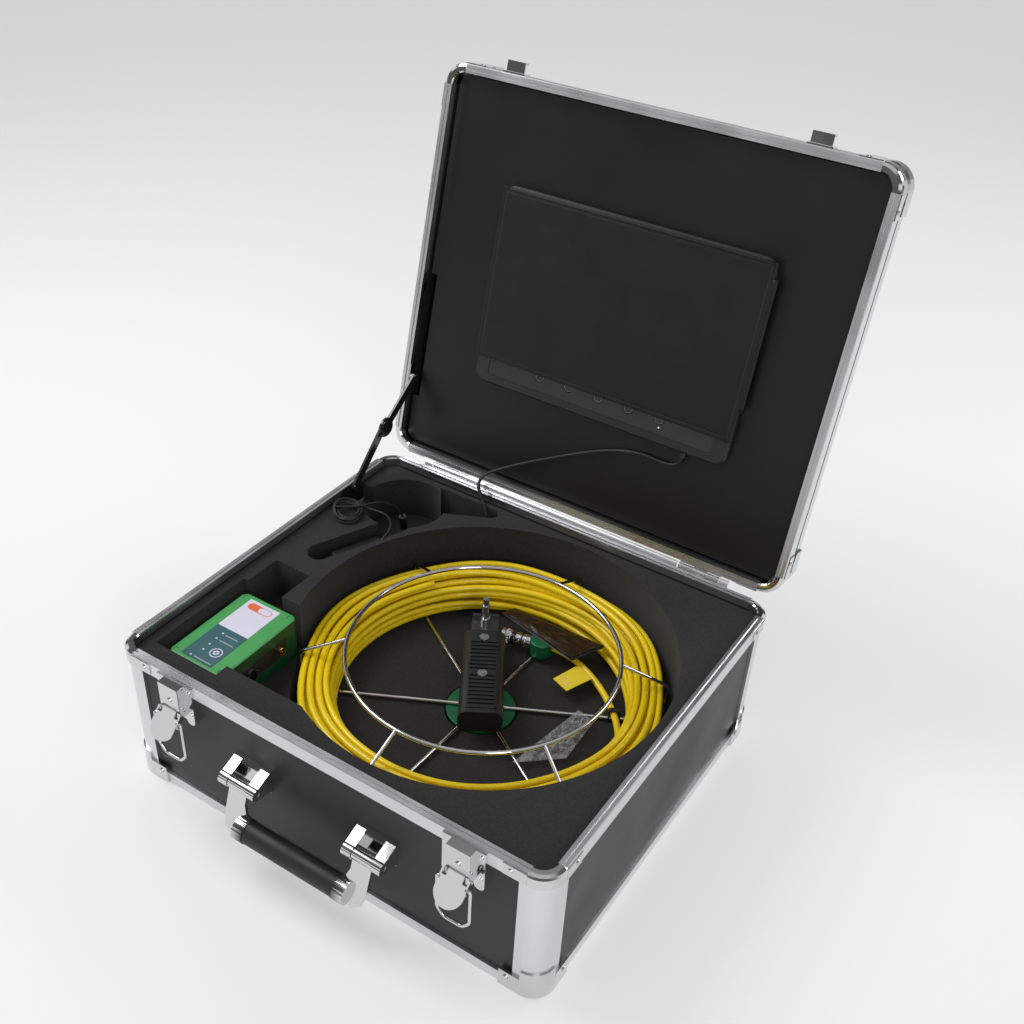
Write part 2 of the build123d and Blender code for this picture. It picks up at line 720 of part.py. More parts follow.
def reel():
    boss = post(0, 0, disc_top, boss_top, boss_radius)
    bore = post(0, 0, 50, boss_top + 1, spindle_radius + 0.05)
    disc = fillet(post(0, 0, disc_low, disc_top, 34).edges(), 0.8)
    ring = Pos(0, 0, ring_z) * Torus(ring_radius, 2.1)
    wires = [on_reel(ring)]
    for turn in range(30, 390, 60):
        wire = Rot(0, 0, turn) * cage_wire()
        wires.append(on_reel(wire - boss - ring))
    node("reel_wires", *wires)
    housing = fillet(post(0, 0, 22, disc_low, 30).edges().group_by(Axis.Z)[0], 3)
    housing -= post(0, 0, 56, 61, spindle_radius + 0.05)
    node("reel_hub", on_reel(disc - bore), on_reel(boss - bore), on_reel(housing))


def coil():
    """Outer shape of the wound push cable: a ring, higher towards its outside."""
    outline = [
        (coil_inner, coil_low), (coil_outer - 6, coil_low), (coil_outer, coil_low + 7),
        (coil_outer, coil_high - 7), (coil_outer - 12, coil_high), (coil_inner + 8, coil_high),
        (coil_inner, coil_high - 8),
    ]
    face = make_face(Polyline(*[(r, 0, z) for r, z in outline], close=True))
    node("push_cable_coil", Pos(reel_x, reel_y, 0) * revolve(face, Axis.Z, 360))


# ---- cords --------------------------------------------------------------
push_cable_route = [
    (168.0, 27.0, 76.0), (162.0, 39.0, 74.2), (154.0, 51.0, 72.6), (144.0, 63.5, 71.4), (132.5, 74.5, 71.0),
    (120.0, 84.5, 71.0), (106.5, 93.5, 71.3), (92.0, 100.5, 72.2), (77.0, 105.5, 73.5), (62.0, 107.5, 74.8),
    (49.0, 106.6, 75.8),
]
adapter_lead_diameter = 2.6


def cord_path(points):
    """Straight runs joined by arcs as large as the runs allow."""
    radii = []
    for a, b, c in zip(points, points[1:], points[2:]):
        first, second = Vector(*b) - Vector(*a), Vector(*c) - Vector(*b)
        turn = first.get_angle(second)
        shorter = min(first.length, second.length)
        radii.append(0.45 * shorter / math.tan(math.radians(turn / 2)))
    return FilletPolyline(*points, radius=radii), radii


def cord_tube(name, points, diameter):
    path, radii = cord_path(points)
    tube = sweep(Plane(origin=path @ 0, z_dir=path % 0) * Circle(diameter / 2), path=path)
    ideal = math.pi * diameter ** 2 / 4 * path.length
    print(f"{name}: length {path.length:.1f}, smallest radius {min(radii):.1f}, "
          f"volume over section times length {tube.volume / ideal:.4f}")
    return tube


def lid_point(x, y, depth):
    """A point of the closed lid, depth above its rim, where it is with the lid open."""
    return (x, *turned_open(y, lid_low + depth))


def monitor_cable_route():
    """Out of the gland, along the lid, down over the rims and into the slit in the foam."""
    on_lid = [
        (gland_x, screen_y1 + 0.2, gland_depth), (gland_x, 106.0, gland_depth), (96.0, 112.9, 7.7),
        (87.4, 115.7, 7.9), (74.0, 115.2, 8.0), (60.0, 114.6, 8.2), (43.0, 117.2, 8.4), (27.0, 122.0, 8.6),
        (11.0, 128.5, 8.8), (-5.5, 136.2, 9.0), (-22.0, 144.8, 9.0), (-38.5, 153.7, 9.0),
        (-55.0, 162.5, 8.6), (-70.0, 170.8, 7.2), (-84.0, 179.0, 4.4),
    ]
    loose = [
        (-95.0, 213.8, 177.2), (-103.3, 208.7, 172.9), (-108.2, 202.5, 167.6), (-107.3, 196.4, 162.0),
        (-101.5, 191.6, 156.8), (-93.8, 187.0, 150.0), (-87.0, 183.0, 141.0), (-82.0, 180.0, 130.0),
        (-79.5, 178.3, 118.0), (-79.0, 178.0, 105.5),
    ]
    return [lid_point(*p) for p in on_lid] + loose


adapter_lead_route = [
    (-154.5, 89.0, 133.2), (-151.4, 96.5, 138.5), (-153.0, 104.0, 144.5), (-160.0, 108.0, 149.2),
    (-168.5, 107.4, 151.0), (-178.0, 105.7, 151.4), (-187.5, 104.4, 151.5), (-196.5, 104.0, 151.5),
]
adapter_tail_route = [
    (-188.5, 101.0, 154.9), (-184.6, 109.0, 154.9), (-179.8, 117.5, 153.8), (-174.6, 125.5, 150.2),
    (-170.2, 133.0, 144.2), (-167.8, 138.8, 136.0), (-167.5, 142.0, 127.0),
]
tail_plug_end = (-169.2, 146.5, 109.0)
hank_centre = (-197.0, 88.0)


def cords():
    node("push_cable", cord_tube("push_cable", push_cable_route, cable_diameter))
    node("monitor_cable", cord_tube("monitor_cable", monitor_cable_route(), monitor_cable_diameter))
    node("adapter_lead", cord_tube("adapter_lead", adapter_lead_route, adapter_lead_diameter))
    node("adapter_lead_tail", cord_tube("adapter_lead_tail", adapter_tail_route, adapter_lead_diameter))
    node("adapter_lead_plug", rod(adapter_tail_route[-1], tail_plug_end, 4.0))


# ---- what is on the push cable -------------------------------------------
collar_x, collar_y = 37.0, 103.0
collar_radius = 12.0
head_low, head_high = 67.2, 84.0
head_z = 76.0
head_axis = (-0.977, -0.214)


def head_piece(start, end, radius):
    a = (collar_x + head_axis[0] * start, collar_y + head_axis[1] * start, head_z)
    b = (collar_x + head_axis[0] * end, collar_y + head_axis[1] * end, head_z)
    return rod(a, b, radius)


def knurled(shape, radius, start, end):
    for i in range(16):
        angle = 2 * math.pi * i / 16
        side = radius * math.cos(angle)
        up = radius * math.sin(angle)
        x0 = collar_x + head_axis[0] * (start - 1) - head_axis[1] * side
        y0 = collar_y + head_axis[1] * (start - 1) + head_axis[0] * side
        x1 = collar_x + head_axis[0] * (end + 1) - head_axis[1] * side
        y1 = collar_y + head_axis[1] * (end + 1) + head_axis[0] * side
        shape -= rod((x0, y0, head_z + up), (x1, y1, head_z + up), 0.55)
    return shape


def camera_head():
    collar = post(collar_x, collar_y, head_low, head_high, collar_radius)
    collar = fillet(collar.edges(), 1.2)
    ring = head_piece(10.5, 15.0, 7.4) - collar
    barrel = head_piece(15.0, 33.0, 6.8)
    bezel = head_piece(33.0, 42.0, 7.2) - head_piece(39.0, 43.0, 5.6)
    bezel = knurled(bezel, 7.2, 34.0, 38.5)
    board = head_piece(39.0, 39.8, 5.6) - head_piece(38.0, 41.0, 2.4)
    window = head_piece(40.6, 41.4, 5.6)
    lens = head_piece(39.0, 40.6, 2.4)
    leds = []
    for i in range(6):
        angle = 2 * math.pi * i / 6
        side, up = 4.0 * math.cos(angle), 4.0 * math.sin(angle)
        a = (collar_x + head_axis[0] * 39.8 - head_axis[1] * side,
             collar_y + head_axis[1] * 39.8 + head_axis[0] * side, head_z + up)
        b = (a[0] + head_axis[0] * 0.7, a[1] + head_axis[1] * 0.7, a[2])
        leds.append(rod(a, b, 0.8))
    tube = rod(push_cable_route[-2], push_cable_route[-1], cable_diameter / 2 + 0.05)
    node("cable_collar", collar - tube)
    node("camera_head", ring, barrel, bezel)
    node("camera_head_lens", board, lens, window, *leds)


def reel_extras():
    flag = prism([(83.0, 99.0), (104.0, 90.0), (92.5, 60.0), (73.0, 67.0)], 76.3, 77.1)
    spoke_turn = math.radians(30 + reel_turn)
    reach = 128.5
    x = reel_x + reach * math.cos(spoke_turn)
    y = reel_y + reach * math.sin(spoke_turn)
    outer = fillet(Box(5.0, 12.0, 14.4).edges().filter_by(Axis.X), 2.5)
    inner = fillet(Box(6.0, 9.6, 12.0).edges().filter_by(Axis.X), 2.0)
    band = Pos(x, y, 69.3) * Rot(0, 0, 118) * (outer - inner)
    tube = rod(push_cable_route[2], push_cable_route[4], cable_diameter / 2 + 0.3)
    wire = rod((reel_x, reel_y, spoke_z), (x + 20 * math.cos(spoke_turn), y + 20 * math.sin(spoke_turn), spoke_z),
               wire_radius + 0.1)
    node("cable_marks", flag, band - tube - wire)
    brown = prism([(-15, 113), (14, 107.5), (46, 101.5), (77, 96), (84, 124), (66, 133), (30, 139), (-12, 131)],
                  head_high + 0.4, head_high + 2.2)
    clear = prism([(112, -52), (101, 0), (110, 42), (124, 40), (136, 8), (131, -32)],
                  spoke_z + wire_radius + 0.3, spoke_z + wire_radius + 1.8)
    node("parts_bags", brown, clear)


# ---- reel grip ----------------------------------------------------------
grip_turn = 121.9
grip_near, grip_far = -48.5, 67.4
grip_low, grip_top = 78.0, 103.0
grip_width = 42.0
strap_low, strap_high = 89.0, 92.0


def on_grip(shape):
    """Local +X runs along the grip, away from the butt end."""
    return Pos(reel_x, reel_y, 0) * Rot(0, 0, grip_turn) * shape


def grip():
    half = grip_width / 2
    body = block(grip_near, grip_far, -half, half, grip_low, grip_top)
    body = fillet(body.edges().filter_by(Axis.X), 9.0)
    rib_top = grip_top + 1
    places = [grip_near + 12 + 5.4 * i for i in range(8)] + [11.5 + 5.4 * i for i in range(8)]
    for s in places:
        body -= block(s - 1.2, s + 1.2, -12.5, 12.5, grip_top - 1.4, rib_top)
    body -= block(grip_near + 5.5, grip_near + 6.5, -half - 1, half + 1, grip_top - 1.0, rib_top)
    body -= block(-36, grip_far + 1, -13.7, 13.7, strap_low, strap_high)
    body -= post(0, 0, grip_low - 1, strap_low + 1, spindle_radius + 0.5)
    for s in (4.8, 56.8):
        body -= post(s, 0, strap_high - 1, rib_top, 3.2)
        body -= post(s, 0, grip_top - 1.2, rib_top, 5.4)
    node("grip_body", on_grip(body))
    strap = block(-35.5, 101, -13.5, 13.5, strap_low + 0.05, strap_high - 0.05)
    strap = fillet(strap.edges().filter_by(Axis.Z), 1.5)
    strap += block(98.2, 101, -13.5, 13.5, strap_high - 1, strap_high + 4)
    strap += post(0, 0, 58, strap_low + 1, spindle_radius)
    for s in (4.8, 56.8):
        strap -= post(s, 0, strap_low - 1, strap_high + 1, 2.1)
    strap -= post(93.5, 0, strap_low - 1, strap_high + 1, 3.1)
    node("grip_strap", on_grip(strap))
    screws = []
    for s in (4.8, 56.8):
        shank = post(s, 0, strap_low + 0.2, grip_top - 1.2, 2.0)
        head = post(s, 0, grip_top - 1.2, grip_top + 0.6, 4.8)
        slot = block(s - 6, s + 6, -0.6, 0.6, grip_top - 0.2, grip_top + 1)
        screws.append(on_grip(shank + head - slot))
    pin = post(93.5, 0, 87.3, 122, 3.0)
    pin += post(93.5, 0, strap_high, strap_high + 5, 4.6)
    pin += post(93.5, 0, 105, 114, 4.2)
    node("grip_fasteners", *screws, on_grip(pin))


# ---- control box --------------------------------------------------------
def control_box():
    wall = 2.5
    radius = 7.0
    lower = rounded_block(box_x0, box_x1, box_y0, box_y1, box_low, box_split, radius)
    lower -= rounded_block(
        box_x0 + wall, box_x1 - wall, box_y0 + wall, box_y1 - wall, box_low + wall, box_split + 1, radius - wall)
    panel_y0, panel_y1, panel_z0, panel_z1 = -150.0, -80.0, 104.0, 123.5
    panel_hole = block(box_x1 - wall - 1, box_x1 + 1, panel_y0, panel_y1, panel_z0, panel_z1)
    node("box_lower_shell", lower - panel_hole)
    upper = rounded_block(box_x0, box_x1, box_y0, box_y1, box_split, box_top, radius)
    upper = fillet(upper.edges().group_by(Axis.Z)[-1], 2.5)
    upper -= rounded_block(
        box_x0 + wall, box_x1 - wall, box_y0 + wall, box_y1 - wall, box_split - 1, box_top - wall, radius - wall)
    corners = [(box_x0 + 6, box_y0 + 6), (box_x0 + 6, box_y1 - 6), (box_x1 - 6, box_y0 + 6), (box_x1 - 6, box_y1 - 6)]
    screws = []
    for x, y in corners:
        upper -= post(x, y, box_top - 1.6, box_top + 1, 2.6)
        screws.append(post(x, y, box_top - 1.6, box_top - 0.5, 2.3))
    node("box_upper_shell", upper, *screws)
    label_x0, label_x1 = box_x0 + 13.0, box_x1 - 17.0
    white = block(label_x0, label_x1, -112, -66, box_top, box_top + 0.4)
    teal = block(label_x0, label_x1, -161, -112, box_top, box_top + 0.4)
    node("box_labels", white, teal)
    socket_z = 114.0
    panel = block(box_x1 - wall, box_x1 - 0.6, panel_y0, panel_y1, panel_z0, panel_z1)
    panel -= rod((box_x1 - 5, -91, socket_z + 4), (box_x1 + 2, -91, socket_z + 4), 4.3)
    panel -= rod((box_x1 - 5, -130, socket_z), (box_x1 + 2, -130, socket_z), 7.3)
    gold = rod((box_x1 - 6, -91, socket_z + 4), (box_x1 + 7, -91, socket_z + 4), 4.2)
    gold -= rod((box_x1 - 4, -91, socket_z + 4), (box_x1 + 8, -91, socket_z + 4), 3.2)
    gold += rod((box_x1 - 6, -91, socket_z + 4), (box_x1 + 5.5, -91, socket_z + 4), 1.3)
    chrome = rod((box_x1 - 6, -130, socket_z), (box_x1 + 4, -130, socket_z), 7.2)
    chrome -= rod((box_x1 - 4, -130, socket_z), (box_x1 + 5, -130, socket_z), 5.8)
    node("box_sockets", panel, gold, chrome)
    node("box_battery", block(-200, -162, -158, -80, box_low + 3, box_low + 24))


# ---- power adapter ------------------------------------------------------
adapter_angle = math.degrees(math.atan2(104.0 - 22.0, -147.0 + 181.0))


def adapter():
    start = Pos(-181.0, 22.0, 0) * Rot(0, 0, adapter_angle)
    body = fillet(block(16, 72, -11, 11, 107, 133.4).edges(), 2.5)
    face = block(8, 16, -9, 9, 112, 131)
    face = fillet(face.edges().filter_by(Axis.X), 3)
    pins = []
    for side in (-1, 1):
        pins.append(start * rod((-6, side * 5.5, 124), (8, side * 5.5, 124), 2.2))
    node("adapter_body", start * body, start * face, *pins)
    ring_outline = [
        (8.0, 146.4), (14.5, 146.4), (17.0, 149.0), (17.0, 153.0), (14.5, 155.6), (9.5, 155.6), (8.0, 153.6),
    ]
    face = make_face(Polyline(*[(r, 0, z) for r, z in ring_outline], close=True))
    node("adapter_lead_coil", Pos(*hank_centre, 0) * revolve(face, Axis.Z, 360))


base_shell()
lid_shell()
hinges()
foam()
lid_stay()
latches()
handle()
monitor()
reel()
coil()
cords()
camera_head()
reel_extras()
grip()
control_box()
adapter()
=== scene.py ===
import math

import bpy
from mathutils import Matrix, Vector, noise


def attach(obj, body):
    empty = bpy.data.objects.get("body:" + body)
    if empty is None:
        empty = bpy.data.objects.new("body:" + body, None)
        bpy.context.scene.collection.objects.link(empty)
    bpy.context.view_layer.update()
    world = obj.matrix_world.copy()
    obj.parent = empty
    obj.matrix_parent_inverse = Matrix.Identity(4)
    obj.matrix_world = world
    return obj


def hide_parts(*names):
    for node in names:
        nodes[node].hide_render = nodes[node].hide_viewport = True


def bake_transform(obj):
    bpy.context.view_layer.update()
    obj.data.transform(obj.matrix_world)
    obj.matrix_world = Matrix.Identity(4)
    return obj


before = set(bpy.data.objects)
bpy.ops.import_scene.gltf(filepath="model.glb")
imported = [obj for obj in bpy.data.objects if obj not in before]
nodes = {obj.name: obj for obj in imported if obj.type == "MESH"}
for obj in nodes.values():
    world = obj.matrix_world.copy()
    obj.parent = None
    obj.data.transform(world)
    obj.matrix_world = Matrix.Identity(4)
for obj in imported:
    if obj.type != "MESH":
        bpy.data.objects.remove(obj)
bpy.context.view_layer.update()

# Pipe inspection camera kit in an open flight case, dressed for rendering. Metres.
MM = 0.001

lid_open_angle = math.radians(104.0)
hinge = Vector((0.0, 207.5, 156.25)) * MM
reel_x, reel_y = 30.0, 5.0
cable_radius = 3.25 * MM


# ---- camera and studio ----------------------------------------------------
camera_place = Vector((0.4988, -0.7342, 0.9141))
camera_heading = math.radians(32.4)
camera_climb = math.radians(37.74)
camera_tilt = math.radians(2.48)
camera_lens = 44.02
camera_shift = (0.0246, 0.052)
floor_half = 6
floor_drop = 0.0004


def make_camera():
    """Three-quarter view from above the front right corner."""
    level = math.cos(camera_climb)
    out_x = math.sin(camera_heading) * level
    out_y = -math.cos(camera_heading) * level
    back = Vector((out_x, out_y, math.sin(camera_climb)))
    right = Vector((0, 0, 1)).cross(back).normalized()
    up = back.cross(right)
    turned_right = right * math.cos(camera_tilt) + up * math.sin(camera_tilt)
    turned_up = up * math.cos(camera_tilt) - right * math.sin(camera_tilt)
    data = bpy.data.cameras.new("camera")
    data.sensor_width = 36.0
    data.lens = camera_lens
    data.shift_x, data.shift_y = camera_shift
    data.clip_end = 50.0
    camera = bpy.data.objects.new("camera", data)
    basis = Matrix((turned_right, turned_up, back)).transposed()
    camera.matrix_world = Matrix.Translation(camera_place) @ basis.to_4x4()
    bpy.context.scene.collection.objects.link(camera)
    bpy.context.scene.camera = camera


def area_light(name, place, target, size, power):
    data = bpy.data.lights.new(name, "AREA")
    data.shape = "RECTANGLE"
    data.size, data.size_y = size
    data.energy = power
    light = bpy.data.objects.new(name, data)
    light.location = place
    light.rotation_euler = (Vector(target) - Vector(place)).to_track_quat("-Z", "Y").to_euler()
    bpy.context.scene.collection.objects.link(light)


def make_studio():
    scene = bpy.context.scene
    scene.view_settings.view_transform = "Standard"
    scene.view_settings.look = "None"
    scene.world = studio_world()
    corners = [(x * floor_half, y * floor_half, 0) for x, y in ((-1, -1), (1, -1), (1, 1), (-1, 1))]
    floor = add_mesh("studio_floor", corners, [(0, 1, 2, 3)])
    floor.location.z = -floor_drop
    floor.data.materials.append(floor_material())
    area_light("key", (-1.1, -0.2, 1.5), (0, 0, 0.1), (0.9, 0.9), 15.0)
    area_light("rim", (0.9, 1.3, 1.3), (0, 0.1, 0.2), (1.2, 0.5), 9.0)
    area_light("front", (1.3, -1.2, 1.0), (0, -0.1, 0.1), (0.5, 1.0), 7.5)


# Height in the sky, from the horizon to overhead, and the grey that the case mirrors there.
sky_bands = [
    (0.0, 0.3), (0.04, 0.12), (0.17, 0.1), (0.25, 0.85), (0.4, 0.9), (0.48, 0.1), (0.74, 0.14), (0.86, 0.6),
]


def studio_world():
    """White backdrop to look at; the light and the mirrored bands come from soft boxes with darker gaps."""
    world = bpy.data.worlds.new("studio")
    world.use_nodes = True
    tree = world.node_tree
    backdrop = tree.nodes["Background"]
    backdrop.inputs["Color"].default_value = (1.0, 1.0, 1.0, 1.0)
    bands = tree.nodes.new("ShaderNodeBackground")
    direction = tree.nodes.new("ShaderNodeTexCoord")
    split = tree.nodes.new("ShaderNodeSeparateXYZ")
    ramp = tree.nodes.new("ShaderNodeValToRGB")
    while len(ramp.color_ramp.elements) < len(sky_bands):
        ramp.color_ramp.elements.new(0.5)
    for element, (place, grey) in zip(ramp.color_ramp.elements, sky_bands):
        element.position = place
        element.color = (grey, grey, grey, 1.0)
    rays = tree.nodes.new("ShaderNodeLightPath")
    mix = tree.nodes.new("ShaderNodeMixShader")
    tree.links.new(direction.outputs["Generated"], split.inputs["Vector"])
    tree.links.new(split.outputs["Z"], ramp.inputs["Fac"])
    tree.links.new(ramp.outputs["Color"], bands.inputs["Color"])
    tree.links.new(rays.outputs["Is Camera Ray"], mix.inputs["Fac"])
    tree.links.new(bands.outputs["Background"], mix.inputs[1])
    tree.links.new(backdrop.outputs["Background"], mix.inputs[2])
    tree.links.new(mix.outputs["Shader"], tree.nodes["World Output"].inputs["Surface"])
    return world


# ---- mesh and curve helpers -------------------------------------------------
def add_mesh(name, points, faces, smooth=False):
    mesh = bpy.data.meshes.new(name)
    mesh.from_pydata([tuple(p) for p in points], [], faces)
    mesh.update()
    for polygon in mesh.polygons:
        polygon.use_smooth = smooth
    piece = bpy.data.objects.new(name, mesh)
    bpy.context.scene.collection.objects.link(piece)
    return piece


def dress(piece, material, body, slot, *replaced):
    """Give a new piece its material and body, and hide the CAD nodes it stands for; slot is not used."""
    piece.data.materials.append(material)
    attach(piece, body)
    if replaced:
        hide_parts(*replaced)
    return piece


def nurbs_line(name, points, resolution):
    """Curve data for the NURBS line that has these control points."""
    curve = bpy.data.curves.new(name, "CURVE")
    curve.dimensions = "3D"
    spline = curve.splines.new("NURBS")
    spline.points.add(len(points) - 1)
    for point, place in zip(spline.points, points):
        point.co = (*place, 1.0)
    spline.order_u = 3
    spline.use_endpoint_u = True
    curve.resolution_u = resolution
    return curve


def nurbs_curve(name, points, radius, bevel=5, resolution=6):
    """A smooth cord whose route has these control points."""
    curve = nurbs_line(name, points, resolution)
    curve.bevel_depth = radius
    curve.bevel_resolution = bevel
    curve.use_fill_caps = True
    piece = bpy.data.objects.new(name, curve)
    bpy.context.scene.collection.objects.link(piece)
    return piece


def spline_points(name, points, resolution=8):
    """Points along the NURBS line through a cord's route."""
    holder = bpy.data.objects.new(name, nurbs_line(name, points, resolution))
    mesh = bpy.data.meshes.new_from_object(holder)
    path = [v.co.copy() for v in mesh.vertices]
    bpy.data.objects.remove(holder)
    bpy.data.meshes.remove(mesh)
    return path


def tube_mesh(name, path, radius, sides=12):
    """A round mesh tube along a path, with closed ends."""
    points, faces = [], []
    normal = None
    for i, place in enumerate(path):
        ahead = path[min(i + 1, len(path) - 1)] - path[max(i - 1, 0)]
        ahead.normalize()
        if normal is None:
            normal = ahead.orthogonal().normalized()
        normal = (normal - ahead * normal.dot(ahead)).normalized()
        side = ahead.cross(normal)
        for k in range(sides):
            angle = 2 * math.pi * k / sides
            points.append(place + radius * (math.cos(angle) * normal + math.sin(angle) * side))
    for i in range(len(path) - 1):
        for k in range(sides):
            a, b = i * sides + k, i * sides + (k + 1) % sides
            faces.append((a, b, b + sides, a + sides))
    last = (len(path) - 1) * sides
    faces.append(tuple(reversed(range(sides))))
    faces.append(tuple(range(last, last + sides)))
    return add_mesh(name, points, faces, smooth=True)


def length_of(path):
    return sum((b - a).length for a, b in zip(path, path[1:]))


def opened(x, y, z):
    """A point of the closed lid, in millimetres, where it is with the lid open, in metres."""
    dy, dz = y * MM - hinge.y, z * MM - hinge.z
    cosine, sine = math.cos(-lid_open_angle), math.sin(-lid_open_angle)
    return Vector((x * MM, hinge.y + dy * cosine - dz * sine, hinge.z + dy * sine + dz * cosine))


# ---- materials --------------------------------------------------------------
class Surface:
    """A Principled material with room for procedural bump, roughness and colour."""

    def __init__(self, name, color, roughness, metallic=0.0, specular=0.5, coat=0.0, coat_roughness=0.1):
        self.material = bpy.data.materials.new(name)
        self.material.use_nodes = True
        self.tree = self.material.node_tree
        self.shader = self.tree.nodes["Principled BSDF"]
        self.shader.inputs["Base Color"].default_value = (*color, 1.0)
        self.shader.inputs["Roughness"].default_value = roughness
        self.shader.inputs["Metallic"].default_value = metallic
        self.shader.inputs["Specular IOR Level"].default_value = specular
        self.shader.inputs["Coat Weight"].default_value = coat
        self.shader.inputs["Coat Roughness"].default_value = coat_roughness
        self.height = None

    def node(self, kind, **settings):
        made = self.tree.nodes.new(kind)
        for key, value in settings.items():
            setattr(made, key, value)
        return made

    def link(self, source, target):
        self.tree.links.new(source, target)

    def place(self, stretch=(1.0, 1.0, 1.0)):
        coordinates = self.node("ShaderNodeTexCoord")
        mapping = self.node("ShaderNodeMapping")
        mapping.inputs["Scale"].default_value = stretch
        self.link(coordinates.outputs["Object"], mapping.inputs["Vector"])
        return mapping.outputs["Vector"]

    def noise(self, scale, detail=3.0, stretch=(1.0, 1.0, 1.0), rough=0.5):
        texture = self.node("ShaderNodeTexNoise")
        texture.inputs["Scale"].default_value = scale
        texture.inputs["Detail"].default_value = detail
        texture.inputs["Roughness"].default_value = rough
        self.link(self.place(stretch), texture.inputs["Vector"])
        return texture.outputs["Fac"]

    def cells(self, scale, stretch=(1.0, 1.0, 1.0), feature="F1"):
        texture = self.node("ShaderNodeTexVoronoi", feature=feature)
        texture.inputs["Scale"].default_value = scale
        self.link(self.place(stretch), texture.inputs["Vector"])
        return texture.outputs["Distance"]

    def bump(self, value, strength, distance):
        """Add a bump on top of those already there."""
        made = self.node("ShaderNodeBump")
        made.inputs["Strength"].default_value = strength
        made.inputs["Distance"].default_value = distance
        self.link(value, made.inputs["Height"])
        if self.height is not None:
            self.link(self.height, made.inputs["Normal"])
        self.height = made.outputs["Normal"]
        self.link(self.height, self.shader.inputs["Normal"])

    def ramp(self, value, low, high, start=0.3, end=0.7):
        made = self.node("ShaderNodeValToRGB")
        made.color_ramp.elements[0].position = start
        made.color_ramp.elements[1].position = end
        made.color_ramp.elements[0].color = low
        made.color_ramp.elements[1].color = high
        self.link(value, made.inputs["Fac"])
        return made.outputs["Color"]

    def vary_color(self, value, low, high, start=0.3, end=0.7):
        self.link(self.ramp(value, (*low, 1), (*high, 1), start, end), self.shader.inputs["Base Color"])

    def vary_roughness(self, value, low, high, start=0.3, end=0.7):
        grey = self.ramp(value, (low, low, low, 1), (high, high, high, 1), start, end)
        self.link(grey, self.shader.inputs["Roughness"])


def floor_material():
    surface = Surface("studio_floor", (0.55, 0.55, 0.55), 0.8, specular=0.1)
    surface.shader.inputs["Emission Color"].default_value = (1.0, 1.0, 1.0, 1.0)
    surface.shader.inputs["Emission Strength"].default_value = 0.4
    return surface.material


def aluminium(tone=0.72, roughness=0.3):
    """Satin extrusion with a fine grain and faint handling marks."""
    surface = Surface("aluminium", (tone, tone * 1.005, tone * 1.02), roughness, metallic=1.0)
    grain = surface.noise(1400.0, 2.0)
    clouds = surface.noise(22.0, 4.0)
    surface.bump(grain, 0.05, 0.00008)
    surface.vary_roughness(clouds, roughness - 0.05, roughness + 0.08)
    return surface.material


def chrome(tone=0.66, roughness=0.07):
    surface = Surface("chrome", (tone, tone, tone * 1.01), roughness, metallic=1.0)
    surface.vary_roughness(surface.noise(60.0, 3.0), roughness, roughness + 0.07, 0.4, 0.75)
    surface.bump(surface.noise(90.0, 2.0), 0.03, 0.0003)
    return surface.material


def gold():
    """Gold-plated brass of the video socket and the adapter's pins."""
    surface = Surface("gold", (0.83, 0.58, 0.2), 0.18, metallic=1.0)
    surface.vary_roughness(surface.noise(70.0, 3.0), 0.14, 0.28)
    surface.bump(surface.noise(400.0, 2.0), 0.04, 0.0002)
    return surface.material


def steel(name="steel", tone=0.6, roughness=0.22):
    surface = Surface(name, (tone, tone, tone * 1.01), roughness, metallic=1.0)
    surface.bump(surface.noise(900.0, 2.0), 0.05, 0.0001)
    surface.vary_roughness(surface.noise(45.0, 3.0), roughness - 0.05, roughness + 0.1)
    return surface.material


def laminate():
    """Black boards with a very fine pebble and scuffs that catch the light."""
    surface = Surface("laminate", (0.018, 0.018, 0.02), 0.42, specular=0.35)
    surface.bump(surface.cells(1100.0), 0.12, 0.0001)
    surface.bump(surface.noise(500.0, 3.0), 0.08, 0.0001)
    surface.vary_roughness(surface.noise(9.0, 5.0), 0.36, 0.5)
    surface.vary_color(surface.noise(1500.0, 2.0), (0.014, 0.014, 0.016), (0.023, 0.023, 0.025))
    return surface.material


def foam():
    """Charcoal packing foam: fine closed cells, slightly mottled."""
    surface = Surface("foam", (0.018, 0.018, 0.019), 0.93, specular=0.25)
    surface.bump(surface.cells(900.0), 0.35, 0.0003)
    surface.bump(surface.noise(160.0, 4.0), 0.15, 0.0004)
    surface.vary_color(surface.noise(420.0, 4.0), (0.012, 0.0115, 0.0115), (0.022, 0.021, 0.021))
    surface.shader.inputs["Sheen Weight"].default_value = 0.12
    surface.shader.inputs["Sheen Roughness"].default_value = 0.6
    return surface.material


def lining():
    surface = Surface("lid_lining", (0.0075, 0.0075, 0.0085), 0.36, specular=0.4)
    surface.bump(surface.noise(700.0, 3.0), 0.06, 0.0001)
    surface.bump(surface.noise(5.0, 2.0), 0.1, 0.002)
    surface.vary_roughness(surface.noise(14.0, 5.0), 0.3, 0.42)
    return surface.material


def plastic(name, color, roughness=0.4, grain=0.12, coat=0.0):
    """Moulded plastic with a fine spark-eroded grain."""
    surface = Surface(name, color, roughness, coat=coat)
    surface.bump(surface.noise(1300.0, 2.0), grain, 0.0001)
    surface.vary_roughness(surface.noise(30.0, 4.0), roughness - 0.04, roughness + 0.08)
    lighter = tuple(min(1.0, c * 1.12) for c in color)
    surface.vary_color(surface.noise(18.0, 3.0), color, lighter)
    return surface.material


